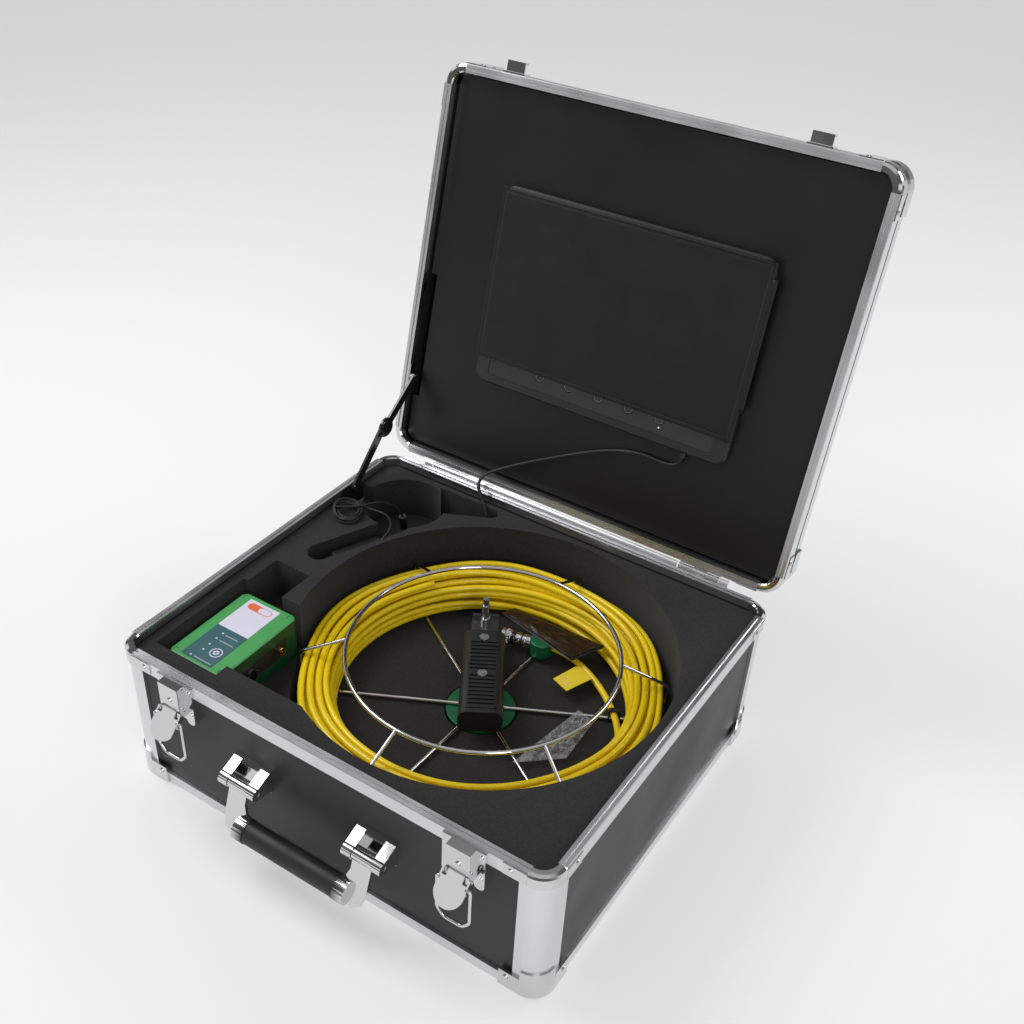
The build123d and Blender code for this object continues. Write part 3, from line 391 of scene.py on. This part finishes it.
def leather():
    surface = Surface("leather", (0.012, 0.012, 0.013), 0.48, specular=0.35)
    surface.bump(surface.cells(900.0, feature="SMOOTH_F1"), 0.16, 0.0002)
    surface.bump(surface.noise(300.0, 4.0), 0.05, 0.0002)
    surface.vary_roughness(surface.noise(25.0, 4.0), 0.34, 0.52)
    surface.vary_color(surface.noise(40.0, 4.0), (0.008, 0.008, 0.009), (0.011, 0.011, 0.012))
    return surface.material


def yellow_jacket():
    """Glossy extruded jacket of the push cable."""
    surface = Surface("yellow_jacket", (0.93, 0.67, 0.003), 0.24, coat=0.25, coat_roughness=0.12)
    surface.vary_color(surface.noise(26.0, 3.0), (0.89, 0.63, 0.002), (0.97, 0.72, 0.005))
    surface.vary_roughness(surface.noise(120.0, 3.0), 0.2, 0.33)
    surface.bump(surface.noise(220.0, 2.0), 0.04, 0.0003)
    return surface.material


def film(name, color, alpha, roughness=0.08):
    """Thin clear bag film that shows mostly by its glints."""
    surface = Surface(name, color, roughness)
    surface.shader.inputs["Alpha"].default_value = alpha
    low, high = (alpha * 0.45,) * 3, (min(1.0, alpha * 1.3),) * 3
    creases = surface.noise(150.0, 6.0, rough=0.65)
    surface.link(surface.ramp(creases, (*low, 1.0), (*high, 1.0), 0.42, 0.62), surface.shader.inputs["Alpha"])
    surface.bump(creases, 0.5, 0.0012)
    surface.vary_roughness(surface.noise(200.0, 3.0), roughness, roughness + 0.15)
    return surface.material


def clear_glass():
    surface = Surface("clear_glass", (0.95, 0.97, 1.0), 0.03)
    surface.shader.inputs["Transmission Weight"].default_value = 0.95
    surface.shader.inputs["IOR"].default_value = 1.45
    surface.bump(surface.noise(60.0, 1.0), 0.01, 0.0001)
    return surface.material


def glow(name, color, strength):
    surface = Surface(name, color, 0.3)
    surface.shader.inputs["Emission Color"].default_value = (*color, 1.0)
    surface.shader.inputs["Emission Strength"].default_value = strength
    surface.bump(surface.noise(400.0, 1.0), 0.05, 0.0001)
    return surface.material


# Colour, roughness, grain and clear coat of the moulded and printed pieces.
plastics = {
    "stay_black": ((0.012, 0.012, 0.013), 0.2, 0.03, 0.4),
    "thread": ((0.03, 0.03, 0.032), 0.5, 0.3),
    "ring_grey": ((0.22, 0.22, 0.23), 0.3, 0.02),
    "black_plastic": ((0.018, 0.018, 0.019), 0.42),
    "grip_plastic": ((0.014, 0.014, 0.015), 0.33, 0.1),
    "gloss_black": ((0.008, 0.008, 0.009), 0.1, 0.02, 0.3),
    "screen": ((0.004, 0.004, 0.005), 0.06, 0.0, 0.4),
    # The box's shell is one green plastic: this lighter copy is painted light for its top, the next, darker
    # copy is painted shade for its sides.
    "box_painted_lit_green": ((0.07, 0.36, 0.1), 0.38),
    "box_painted_shade_green": ((0.005, 0.06, 0.02), 0.38),
    "hub_green": ((0.006, 0.13, 0.05), 0.35),
    "collar_green": ((0.006, 0.12, 0.045), 0.2, 0.03, 0.3),
    "label_white": ((0.74, 0.72, 0.84), 0.45, 0.03),
    "label_pale": ((0.36, 0.42, 0.44), 0.4, 0.03),
    "label_teal": ((0.045, 0.13, 0.15), 0.35, 0.03),
    "label_orange": ((0.8, 0.16, 0.06), 0.4, 0.03),
    "label_yellow": ((0.86, 0.66, 0.03), 0.45, 0.05),
    "flag_ink": ((0.8, 0.5, 0.22), 0.45, 0.03),
    "rubber": ((0.012, 0.012, 0.013), 0.5, 0.2),
    "battery": ((0.02, 0.07, 0.3), 0.35, 0.03),
}
palette = {
    "aluminium": aluminium(),
    "chrome": chrome(),
    "steel": steel(),
    "gunmetal": steel("gunmetal", 0.16, 0.3),
    "gold": gold(),
    "laminate": laminate(),
    "foam": foam(),
    "lining": lining(),
    "leather": leather(),
    "yellow_jacket": yellow_jacket(),
    "clear_film": film("clear_film", (0.5, 0.52, 0.54), 0.3),
    "brown_film": film("brown_film", (0.05, 0.028, 0.01), 0.66),
    "clear_glass": clear_glass(),
    "light_dot": glow("light_dot", (0.9, 0.95, 1.0), 0.6),
}
for plastic_name, look in plastics.items():
    palette[plastic_name] = plastic(plastic_name, *look)


def paint(node, *names, choose=None):
    """Give a CAD node its materials; choose picks one by the face's centre, in millimetres."""
    cad = nodes[node]
    cad.data.materials.clear()
    for name in names:
        cad.data.materials.append(palette[name])
    for polygon in cad.data.polygons:
        polygon.material_index = int(choose(polygon.center / MM)) if choose else 0


# Which CAD nodes wear one material all over.
plain_nodes = {
    "aluminium": ["base_rim_rails", "lid_rim_rails", "base_edge_rails", "lid_edge_rails", "hinge_band"],
    "chrome": ["base_corners", "lid_corners", "base_trim", "lid_trim", "lid_catches", "handle_brackets",
               "latch_plates", "latch_lever_left", "latch_lever_right", "latch_bail_left", "latch_bail_right",
               "reel_wires", "camera_head"],
    "steel": ["base_hinge_leaves", "lid_hinge_leaves", "stay_lid_mount", "grip_fasteners"],
    "stay_black": ["stay_lower_link", "stay_upper_link", "stay_base_mount"],
    "gunmetal": ["grip_strap"],
    "laminate": ["base_panels", "lid_panels"],
    "foam": ["foam_insert", "foam_plinth"],
    "lining": ["lid_liner"],
    "black_plastic": ["monitor_housing", "adapter_lead_plug"],
    "gloss_black": ["monitor_fascia", *[f"monitor_button_{index}" for index in range(1, 6)]],
    "screen": ["monitor_screen"],
    "rubber": ["adapter_lead", "adapter_lead_coil", "adapter_lead_tail", "monitor_cable"],
    "yellow_jacket": ["push_cable_coil", "push_cable"],
    "collar_green": ["cable_collar"],
    "clear_glass": ["camera_head_lens"],
    "grip_plastic": ["grip_body"],
    # The lower shell wears the darker copy of the box's green, painted shade.
    "box_painted_shade_green": ["box_lower_shell"],
    "battery": ["box_battery"],
}

# Where one node changes from a material to the next, in millimetres.
handle_middle, handle_grip_half, handle_grip_top = -5.5, 57.0, 60
pins_front, pins_low, pins_high = 24, 121, 127
spindle_low, bearing_top = 63.3, 59.7
spoke_band_x = 110
box_top_low = 134.9
teal_label_back = -112
socket_face_x, video_socket_y, video_socket_half = -140.55, -91, 4.4


def on_handle_grip(p):
    return abs(p.x - handle_middle) < handle_grip_half and p.z < handle_grip_top


def on_adapter_pins(p):
    return p.y < pins_front and pins_low < p.z < pins_high


def on_hub(p):
    if p.z > spindle_low:
        return 1
    return 2 if p.z < bearing_top else 0


def on_sockets(p):
    if p.x <= socket_face_x:
        return 0
    return 1 if abs(p.y - video_socket_y) < video_socket_half else 2


def paint_cad():
    for material, names in plain_nodes.items():
        for node in names:
            paint(node, material)
    paint("handle", "chrome", "rubber", choose=on_handle_grip)
    paint("adapter_body", "black_plastic", "gold", choose=on_adapter_pins)
    paint("reel_hub", "hub_green", "steel", "black_plastic", choose=on_hub)
    paint("cable_marks", "label_yellow", "rubber", choose=lambda p: p.x > spoke_band_x)
    # Painted light and shade: the box's top gets the lighter copy of its green, the sides the darker copy.
    paint("box_upper_shell", "box_painted_lit_green", "box_painted_shade_green", choose=lambda p: p.z <= box_top_low)
    paint("box_labels", "label_white", "label_teal", choose=lambda p: p.y < teal_label_back)
    paint("box_sockets", "black_plastic", "gold", "chrome", choose=on_sockets)


# ---- cords --------------------------------------------------------------------
push_cable_route = [
    (168.0, 27.0, 76.0), (162.0, 39.0, 74.2), (154.0, 51.0, 72.6), (144.0, 63.5, 71.4), (132.5, 74.5, 71.0),
    (120.0, 84.5, 71.0), (106.5, 93.5, 71.3), (92.0, 100.5, 72.2), (77.0, 105.5, 73.5), (62.0, 107.5, 74.8),
    (49.0, 106.6, 75.8),
]
turns_on_reel = [
    (143.2, 77.5), (143.2, 70.8), (150.2, 70.8), (157.2, 70.8), (164.0, 70.8), (169.4, 75.8),
    (162.4, 77.8), (155.4, 77.8), (148.8, 82.0), (143.4, 86.6), (150.6, 89.4), (157.6, 85.2), (164.6, 84.0),
    (169.6, 89.4), (163.4, 93.0), (156.6, 92.8), (144.4, 94.0), (150.8, 97.4), (158.0, 100.6), (165.0, 100.2),
    (168.6, 106.6), (161.8, 108.2), (154.8, 107.4), (148.0, 104.2),
]
steps_per_turn = 24
coil_inner, coil_width = 143.0, 27.0
wire_angle = math.radians(28.0)
bulge_depth = 6.5
slack_angle = math.radians(60.0)
slack_depth, slack_reach = 8.0, 20.0
crossing_share = 0.55
turn_waver = 0.5


def bulge(angle, radius):
    """How far the outer turns swell out between two of the cage's six wires."""
    outwards = max(0.0, (radius - coil_inner) / coil_width)
    return bulge_depth * outwards * math.sin(3 * (angle - wire_angle)) ** 2


def slack(angle, radius):
    """How far the inner turns sag inwards at the front of the reel."""
    front = max(0.0, math.cos(angle + slack_angle)) ** 2
    return slack_depth * front * max(0.0, 1.0 - (radius - coil_inner) / slack_reach)


def wound_turns():
    """The turns on the reel, clockwise from the route's first point, each a little out of true."""
    start = math.atan2(push_cable_route[0][1] - reel_y, push_cable_route[0][0] - reel_x)
    points = []
    total = len(turns_on_reel) * steps_per_turn
    for step in range(1, total - steps_per_turn // 3):
        turn, part = divmod(step, steps_per_turn)
        share = part / steps_per_turn
        here = turns_on_reel[turn]
        after = turns_on_reel[min(turn + 1, len(turns_on_reel) - 1)]
        ease = max(0.0, (share - crossing_share) / 0.45)
        ease = ease * ease * (3 - 2 * ease)
        angle = start - 2 * math.pi * step / steps_per_turn
        sway = turn_waver * math.sin(2 * angle + 1.9 * turn)
        lift = turn_waver * math.sin(3 * angle + 2.3 * turn)
        radius = here[0] + (after[0] - here[0]) * ease + sway
        radius += bulge(angle, radius) - slack(angle, radius)
        height = here[1] + (after[1] - here[1]) * ease + lift
        points.append((reel_x + radius * math.cos(angle), reel_y + radius * math.sin(angle), height))
    return points


def make_push_cable():
    route = [Vector(p) * MM for p in list(reversed(wound_turns())) + push_cable_route]
    cable = nurbs_curve("push_cable_line", route, cable_radius, bevel=5, resolution=5)
    dress(cable, palette["yellow_jacket"], "reel", "yellow_cable", "push_cable", "push_cable_coil")
    path = spline_points("push_cable_guide", route)
    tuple(route[0])
    length_of(path)


monitor_cable_diameter = 3.5 * MM
lid_mouth = 156.5
# The last control point that keeps to the lid, and the first that keeps to the base.
lid_hold, base_hold = 15, 19
monitor_cable_on_lid = [
    (101.0, 98.2, 7.6), (101.0, 106.0, 7.6), (96.0, 112.9, 7.7), (87.4, 115.7, 7.9), (74.0, 115.2, 8.0),
    (60.0, 114.6, 8.2), (43.0, 117.2, 8.4), (27.0, 122.0, 8.6), (11.0, 128.5, 8.8), (-5.5, 136.2, 9.0),
    (-22.0, 144.8, 9.0), (-38.5, 153.7, 9.0), (-55.0, 162.5, 8.6), (-70.0, 170.8, 7.2), (-84.0, 179.0, 4.4),
]
monitor_cable_loose = [
    (-95.0, 213.8, 177.2), (-103.3, 208.7, 172.9), (-108.2, 202.5, 167.6), (-107.3, 196.4, 162.0),
    (-101.5, 191.6, 156.8), (-93.8, 187.0, 150.0), (-87.0, 183.0, 141.0), (-82.0, 180.0, 130.0),
    (-79.5, 178.3, 118.0), (-79.0, 178.0, 105.5),
]


def make_monitor_cable():
    route = [opened(x, y, lid_mouth + depth) for x, y, depth in monitor_cable_on_lid]
    route += [Vector(p) * MM for p in monitor_cable_loose]
    path = spline_points("monitor_cable_guide", route)
    cable = tube_mesh("monitor_cable_line", path, monitor_cable_diameter / 2)
    cable.data.materials.append(palette["rubber"])
    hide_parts("monitor_cable")
    tuple(route[lid_hold])
    tuple(route[base_hold])
    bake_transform(cable)
    tuple(route[0])
    length_of(path)


adapter_lead_diameter = 2.6 * MM
adapter_lead_route = [
    (-154.5, 89.0, 133.2), (-151.4, 96.5, 138.5), (-153.0, 104.0, 144.5), (-160.0, 108.0, 149.2),
    (-168.5, 107.4, 151.0), (-178.0, 105.7, 151.4), (-187.5, 104.4, 151.5), (-196.5, 104.0, 151.5),
]
adapter_tail_route = [
    (-188.5, 101.0, 154.9), (-184.6, 109.0, 154.9), (-179.8, 117.5, 153.8), (-174.6, 125.5, 150.2),
    (-170.2, 133.0, 144.2), (-167.8, 138.8, 136.0), (-167.5, 142.0, 127.0),
]


hank_x, hank_y, hank_low = -197.5, 88.0, 148.2
hank_turn_count, hank_steps = 9, 14
hank_size, hank_spread, hank_rise, hank_lean = 11.0, 5.0, 6.0, 0.28
hank_stretch = (1.02, 1.06)
hank_drift = 1.2
golden = 0.618


def hank_turns():
    """Loose turns of the adapter's lead, of different sizes, leaning on each other."""
    points = []
    for step in range(3, hank_turn_count * hank_steps - 8):
        turn = step // hank_steps
        angle = math.pi / 2 + 2 * math.pi * step / hank_steps
        size = hank_size + hank_spread * ((turn * golden) % 1.0)
        height = hank_low + hank_rise * turn / hank_turn_count + 0.7 * math.sin(2 * angle + turn)
        x = hank_x + size * hank_stretch[0] * math.cos(angle) + hank_drift * math.sin(1.7 * turn)
        y = hank_y + size * hank_stretch[1] * math.sin(angle) + hank_drift * math.cos(2.3 * turn)
        height += hank_lean * max(0.0, hank_x - x)
        points.append((x, y, height))
    return points


def make_adapter_lead():
    route = [Vector(p) * MM for p in adapter_lead_route + hank_turns() + adapter_tail_route]
    lead = nurbs_curve("adapter_lead_line", route, adapter_lead_diameter / 2, bevel=4, resolution=5)
    dress(lead, palette["rubber"], "base", "black_rubber",
          "adapter_lead", "adapter_lead_coil", "adapter_lead_tail")
    path = spline_points("adapter_lead_guide", route)
    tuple(route[0])
    length_of(path)


# ---- flap, bags, labels and button rings ----------------------------------------
def slab(name, columns, rows, place):
    """A closed thin piece; place(u, v, side) gives the points of its two faces, side 0 or 1."""
    points, faces = [], []
    for side in (0, 1):
        for v in rows:
            for u in columns:
                points.append(place(u, v, side))
    width, height = len(columns), len(rows)
    layer = width * height
    for j in range(height - 1):
        for i in range(width - 1):
            a = j * width + i
            faces.append((a, a + 1, a + width + 1, a + width))
            faces.append((a + layer + width, a + layer + width + 1, a + layer + 1, a + layer))
    ring = list(range(width)) + [j * width + width - 1 for j in range(1, height)]
    ring += [(height - 1) * width + i for i in range(width - 2, -1, -1)]
    ring += [j * width for j in range(height - 2, 0, -1)]
    for a, b in zip(ring, ring[1:] + ring[:1]):
        faces.append((b, a, a + layer, b + layer))
    return add_mesh(name, points, faces, smooth=True)


hem = 7.0
hem_places = [0.0, 0.2, 0.6, 1.2, 2.2, 3.4, 4.0, 4.4, 4.8, 5.4, hem]


def hemmed(length):
    """Places across a hemmed sheet: close together over its edges and seams, wider in the middle."""
    count = int(length / 7)
    middle = [hem + (length - 2 * hem) * i / count for i in range(1, count)]
    return hem_places + middle + [length - e for e in reversed(hem_places)]


flap_left, flap_front, flap_width, flap_length = -145.5, -101.0, 291.0, 172.5
flap_middle, flap_half = 157.95, 0.8
edge_round = 1.2
seam_inset, seam_width, seam_depth = 4.4, 0.5, 0.34
flap_wave = 0.16
side_panel_left, side_panel_front = 145.2, -86.0
side_panel_width, side_panel_length, side_panel_rows = 4.4, 126.0, 24
roll_z, roll_radius = 157.6, 1.5
stitch_pitch = 3.4
# Along a stitch: where it is, half its width there, and how far it stands from the flap's middle.
stitch_shape = ((0.0, 0.12, 0.35), (0.6, 0.3, 0.72), (1.8, 0.3, 0.72), (2.4, 0.12, 0.35))


def flap_thickness(x, y):
    """Half the flap's thickness: rounded at its edges, drawn in along the seam."""
    edge = min(x, flap_width - x, y, flap_length - y)
    rounded = math.sqrt(max(0.0, 1.0 - (1.0 - min(edge / edge_round, 1.0)) ** 2))
    seam = seam_depth * math.exp(-((edge - seam_inset) / seam_width) ** 2)
    return flap_half * (0.12 + 0.88 * rounded) - seam


def flap_point(x, y, side):
    wave = flap_wave * math.sin(x / 31.0 + 0.8) * math.sin(y / 27.0)
    out = flap_thickness(x, y) * (-1 if side == 0 else 1)
    return opened(flap_left + x, flap_front + y, flap_middle + wave + out)


def side_panel_point(x, y, side):
    """The folded side panel that shows past the flap's right edge."""
    round_off = 0.35 + 0.45 * math.sqrt(max(0.0, 1.0 - (x / side_panel_width) ** 2))
    out = -round_off if side == 0 else round_off
    return opened(side_panel_left + x, side_panel_front + y, flap_middle + 0.3 + out)


def make_flap():
    flap = slab("flap_sheet", hemmed(flap_width), hemmed(flap_length), flap_point)
    dress(flap, palette["leather"], "sunshade", "flap", "sunshade_flap")
    seams = stitches()
    dress(seams, palette["thread"], "sunshade", "flap")
    roll_path = [opened(x, flap_front + 1.4, roll_z) for x in range(-143, 144, 11)]
    roll = tube_mesh("flap_roll", roll_path, roll_radius * MM)
    dress(roll, palette["leather"], "sunshade", "flap")
    rows = [side_panel_length * i / side_panel_rows for i in range(side_panel_rows + 1)]
    side = slab("flap_side_panel", [0.0, 1.0, 2.0, 3.6, side_panel_width], rows, side_panel_point)
    dress(side, palette["leather"], "sunshade", "flap")


def stitches():
    """Thread that runs round three sides of the flap, sunk in its seam."""
    runs = []
    for step in range(int((flap_length - 2 * seam_inset) / stitch_pitch)):
        for x in (seam_inset, flap_width - seam_inset):
            runs.append((x, seam_inset + stitch_pitch * step, 0.0, 1.0))
    for step in range(int((flap_width - 2 * seam_inset) / stitch_pitch)):
        runs.append((seam_inset + stitch_pitch * step, flap_length - seam_inset, 1.0, 0.0))
    points, faces = [], []
    for x, y, along_x, along_y in runs:
        first = len(points)
        for share, half, rise in stitch_shape:
            for across in (-half, half):
                px = flap_left + x + along_x * share + along_y * across
                py = flap_front + y + along_y * share + along_x * across
                points.append(opened(px, py, flap_middle - rise))
        for k in range(3):
            a = first + 2 * k
            faces.append((a, a + 1, a + 3, a + 2))
    return add_mesh("flap_stitches", points, faces, smooth=True)


film_half = 0.25


def crumpled(name, corners, low, columns, rows, rise, pitch):
    """A small film bag lying over a four-cornered place, with creases that rise from it."""
    a, b, c, d = (Vector(corner) for corner in corners)

    def place(u, v, side):
        bottom, top = a.lerp(b, u), d.lerp(c, u)
        x, y = bottom.lerp(top, v)
        crease = noise.noise(Vector((x, y, 30.0)) / pitch)
        crease += 0.5 * noise.noise(Vector((x, y, 70.0)) / pitch * 3.3)
        fold = abs(crease) ** 0.8
        edge = min(1.0, 6.0 * min(u, 1 - u, v, 1 - v))
        thick = film_half if side == 0 else -film_half
        return Vector((x, y, low + 0.4 + rise * fold * edge - thick)) * MM
    return slab(name, [i / columns for i in range(columns + 1)], [j / rows for j in range(rows + 1)], place)


brown_bag_corners = [(76, 95), (93, 130), (-9, 126), (-14, 115)]
brown_back_corners = [(78, 92), (96, 131), (-11, 128), (-18, 113)]
clear_bag_corners = [(97, -44), (135, -10), (132, 46), (112, 52)]
brown_bag_low, brown_back_low, clear_bag_low = 85.4, 84.4, 68.6


def make_bags():
    brown = crumpled("camera_bag", brown_bag_corners, brown_bag_low, 60, 26, 2.6, 17.0)
    dress(brown, palette["brown_film"], "reel", "bag_film", "parts_bags")
    pouch = crumpled("camera_bag_back", brown_back_corners, brown_back_low, 60, 26, 1.2, 25.0)
    dress(pouch, palette["gloss_black"], "reel", "bag_film")
    clear = crumpled("spares_bag", clear_bag_corners, clear_bag_low, 60, 90, 8.0, 9.0)
    dress(clear, palette["clear_film"], "reel", "bag_film")


collar_x, collar_y, head_z = 37.0, 103.0, 76.0
head_axis = (0.977, 0.214)
# Start and end from the collar's middle, radius and material of each band on the camera head.
head_bands = [
    (15.6, 17.0, 7.6, "chrome"), (19.6, 21.0, 7.15, "gloss_black"), (22.4, 23.2, 7.4, "chrome"),
    (27.0, 31.4, 7.1, "gloss_black"), (31.9, 32.8, 7.5, "chrome"), (38.7, 39.5, 7.7, "chrome"),
]
knurl_count, knurl_radius, ridge_radius = 26, 7.2, 0.42
knurl_start, knurl_end = 33.8, 38.4


def on_head(start, side=0.0, up=0.0):
    """A point near the camera head, start away from the collar's middle along its axis."""
    x = collar_x - head_axis[0] * start + head_axis[1] * side
    y = collar_y - head_axis[1] * start - head_axis[0] * side
    return Vector((x, y, head_z + up)) * MM


def make_head_rings():
    """Raised bands, black seals and the knurl of the camera head."""
    for index, (start, end, radius, material) in enumerate(head_bands):
        band = tube_mesh(f"head_band_{index}", [on_head(start), on_head(end)], radius * MM, sides=40)
        dress(band, palette[material], "reel", "steel_hardware")
    for k in range(knurl_count):
        angle = 2 * math.pi * k / knurl_count
        side, up = knurl_radius * math.cos(angle), knurl_radius * math.sin(angle)
        path = [on_head(knurl_start, side, up), on_head(knurl_end, side, up)]
        ridge = tube_mesh(f"head_ridge_{k}", path, ridge_radius * MM, sides=6)
        dress(ridge, palette["chrome"], "reel", "steel_hardware")


# The flag's free corner, the run of its free edge, and the way in from that edge.
flag_corner = (73.0, 67.0)
flag_along = (0.942, -0.338)
flag_inward = (0.3, 0.955)
flag_top = 77.1
bar_width, bar_length, bar_pitch, row_pitch = 1.1, 6.5, 3.0, 9.0
first_bar = (3.5, 2.5)
ink = 0.12


def make_flag_print():
    """Faint bars across the free end of the yellow flag."""
    for row in range(2):
        for bar in range(3):
            inward = first_bar[0] + bar_pitch * bar
            start = first_bar[1] + row_pitch * row
            end = start + bar_length
            wide = inward + bar_width
            outline = []
            for across, along in ((inward, start), (inward, end), (wide, end), (wide, start)):
                x = flag_corner[0] + flag_along[0] * along + flag_inward[0] * across
                y = flag_corner[1] + flag_along[1] * along + flag_inward[1] * across
                outline.append((x, y))
            name = f"flag_bar_{row}_{bar}"
            badge(name, outline, flag_top, flag_top + ink, "flag_ink", "reel", "yellow_label")


def badge(name, outline, low, high, material, body="control_box", slot="label"):
    """A thin printed shape on a label."""
    count = len(outline)
    points = [Vector((x, y, z)) * MM for z in (low, high) for x, y in outline]
    faces = [tuple(range(count, 2 * count))]
    for k in range(count):
        after = (k + 1) % count
        faces.append((k, after, after + count, k + count))
    return dress(add_mesh(name, points, faces), palette[material], body, slot)


def pill(x0, x1, y0, y1, steps=9):
    """Outline of a bar with round ends."""
    radius = (y1 - y0) / 2
    middle = (y0 + y1) / 2
    outline = []
    for x, turn in ((x1 - radius, -0.5), (x0 + radius, 0.5)):
        for k in range(steps + 1):
            angle = math.pi * (turn + k / steps)
            outline.append((x + radius * math.cos(angle), middle + radius * math.sin(angle)))
    return outline


def disc(x, y, radius, steps=28):
    outline = []
    for k in range(steps):
        angle = 2 * math.pi * k / steps
        outline.append((x + radius * math.cos(angle), y + radius * math.sin(angle)))
    return outline


label_top = 136.4
badge_orange_sides = (-190.0, -161.5, -78.5, -69.5)
badge_white_sides = (-177.0, -162.3, -77.7, -70.3)
lights = [(-180.5, -119.6), (-180.8, -128.0), (-180.3, -137.7), (-180.0, -146.4), (-184.5, -157.9)]
label_lines = [(-176.8, -161.5, -120.2), (-176.4, -159.6, -128.8), (-180.0, -159.2, -158.2)]
line_half = 0.55
seal_place = (-166.8, -143.5)
# Radius, material, underside and top of each layer of the round seal, above the label.
seal_layers = [
    ("outer", 6.2, "label_white", 0.0, 0.12), ("ring", 5.2, "label_teal", 0.12, 0.18),
    ("middle", 3.0, "label_white", 0.18, 0.24), ("dot", 1.3, "label_teal", 0.24, 0.3),
]


def make_label_print():
    """Generic marks: a two-tone badge, rows of lights with lines beside them, and a round seal."""
    base = label_top
    badge("badge_orange", pill(*badge_orange_sides), base, base + ink, "label_orange")
    badge("badge_white", pill(*badge_white_sides), base + ink, base + 0.2, "label_white")
    for index, (x, y) in enumerate(lights):
        badge(f"label_light_{index}", disc(x, y, 1.0, 14), base, base + 0.15, "label_white")
    for index, (x0, x1, y) in enumerate(label_lines):
        outline = pill(x0, x1, y - line_half, y + line_half, 4)
        badge(f"label_line_{index}", outline, base, base + ink, "label_pale")
    for name, radius, material, low, high in seal_layers:
        badge(f"seal_{name}", disc(*seal_place, radius), base + low, base + high, material)


button_middle, button_pitch, button_y = 1.0, 34.3, 73.0
ring_radius, ring_line, ring_z = 4.6, 0.22, 159.85
light_place = (71.1, 81.3)
light_low, light_high, light_radius = 159.6, 159.75, 0.8


def make_button_rings():
    """Printed rings round the five buttons and the small light under the last one."""
    for index in range(5):
        x = button_middle + button_pitch * (index - 2)
        path = []
        for k in range(33):
            angle = 2 * math.pi * k / 32
            across, up = ring_radius * math.cos(angle), ring_radius * math.sin(angle)
            path.append(opened(x + across, button_y + up, ring_z))
        ring = tube_mesh(f"button_ring_{index + 1}", path, ring_line * MM, sides=8)
        dress(ring, palette["ring_grey"], f"button_{index + 1}", "gloss_black")
    path = [opened(*light_place, light_low), opened(*light_place, light_high)]
    light = tube_mesh("monitor_light", path, light_radius * MM)
    dress(light, palette["light_dot"], "lid", "gloss_black")


make_camera()
make_studio()
make_push_cable()
make_monitor_cable()
make_adapter_lead()
make_flap()
make_bags()
make_head_rings()
make_flag_print()
make_label_print()
make_button_rings()
paint_cad()
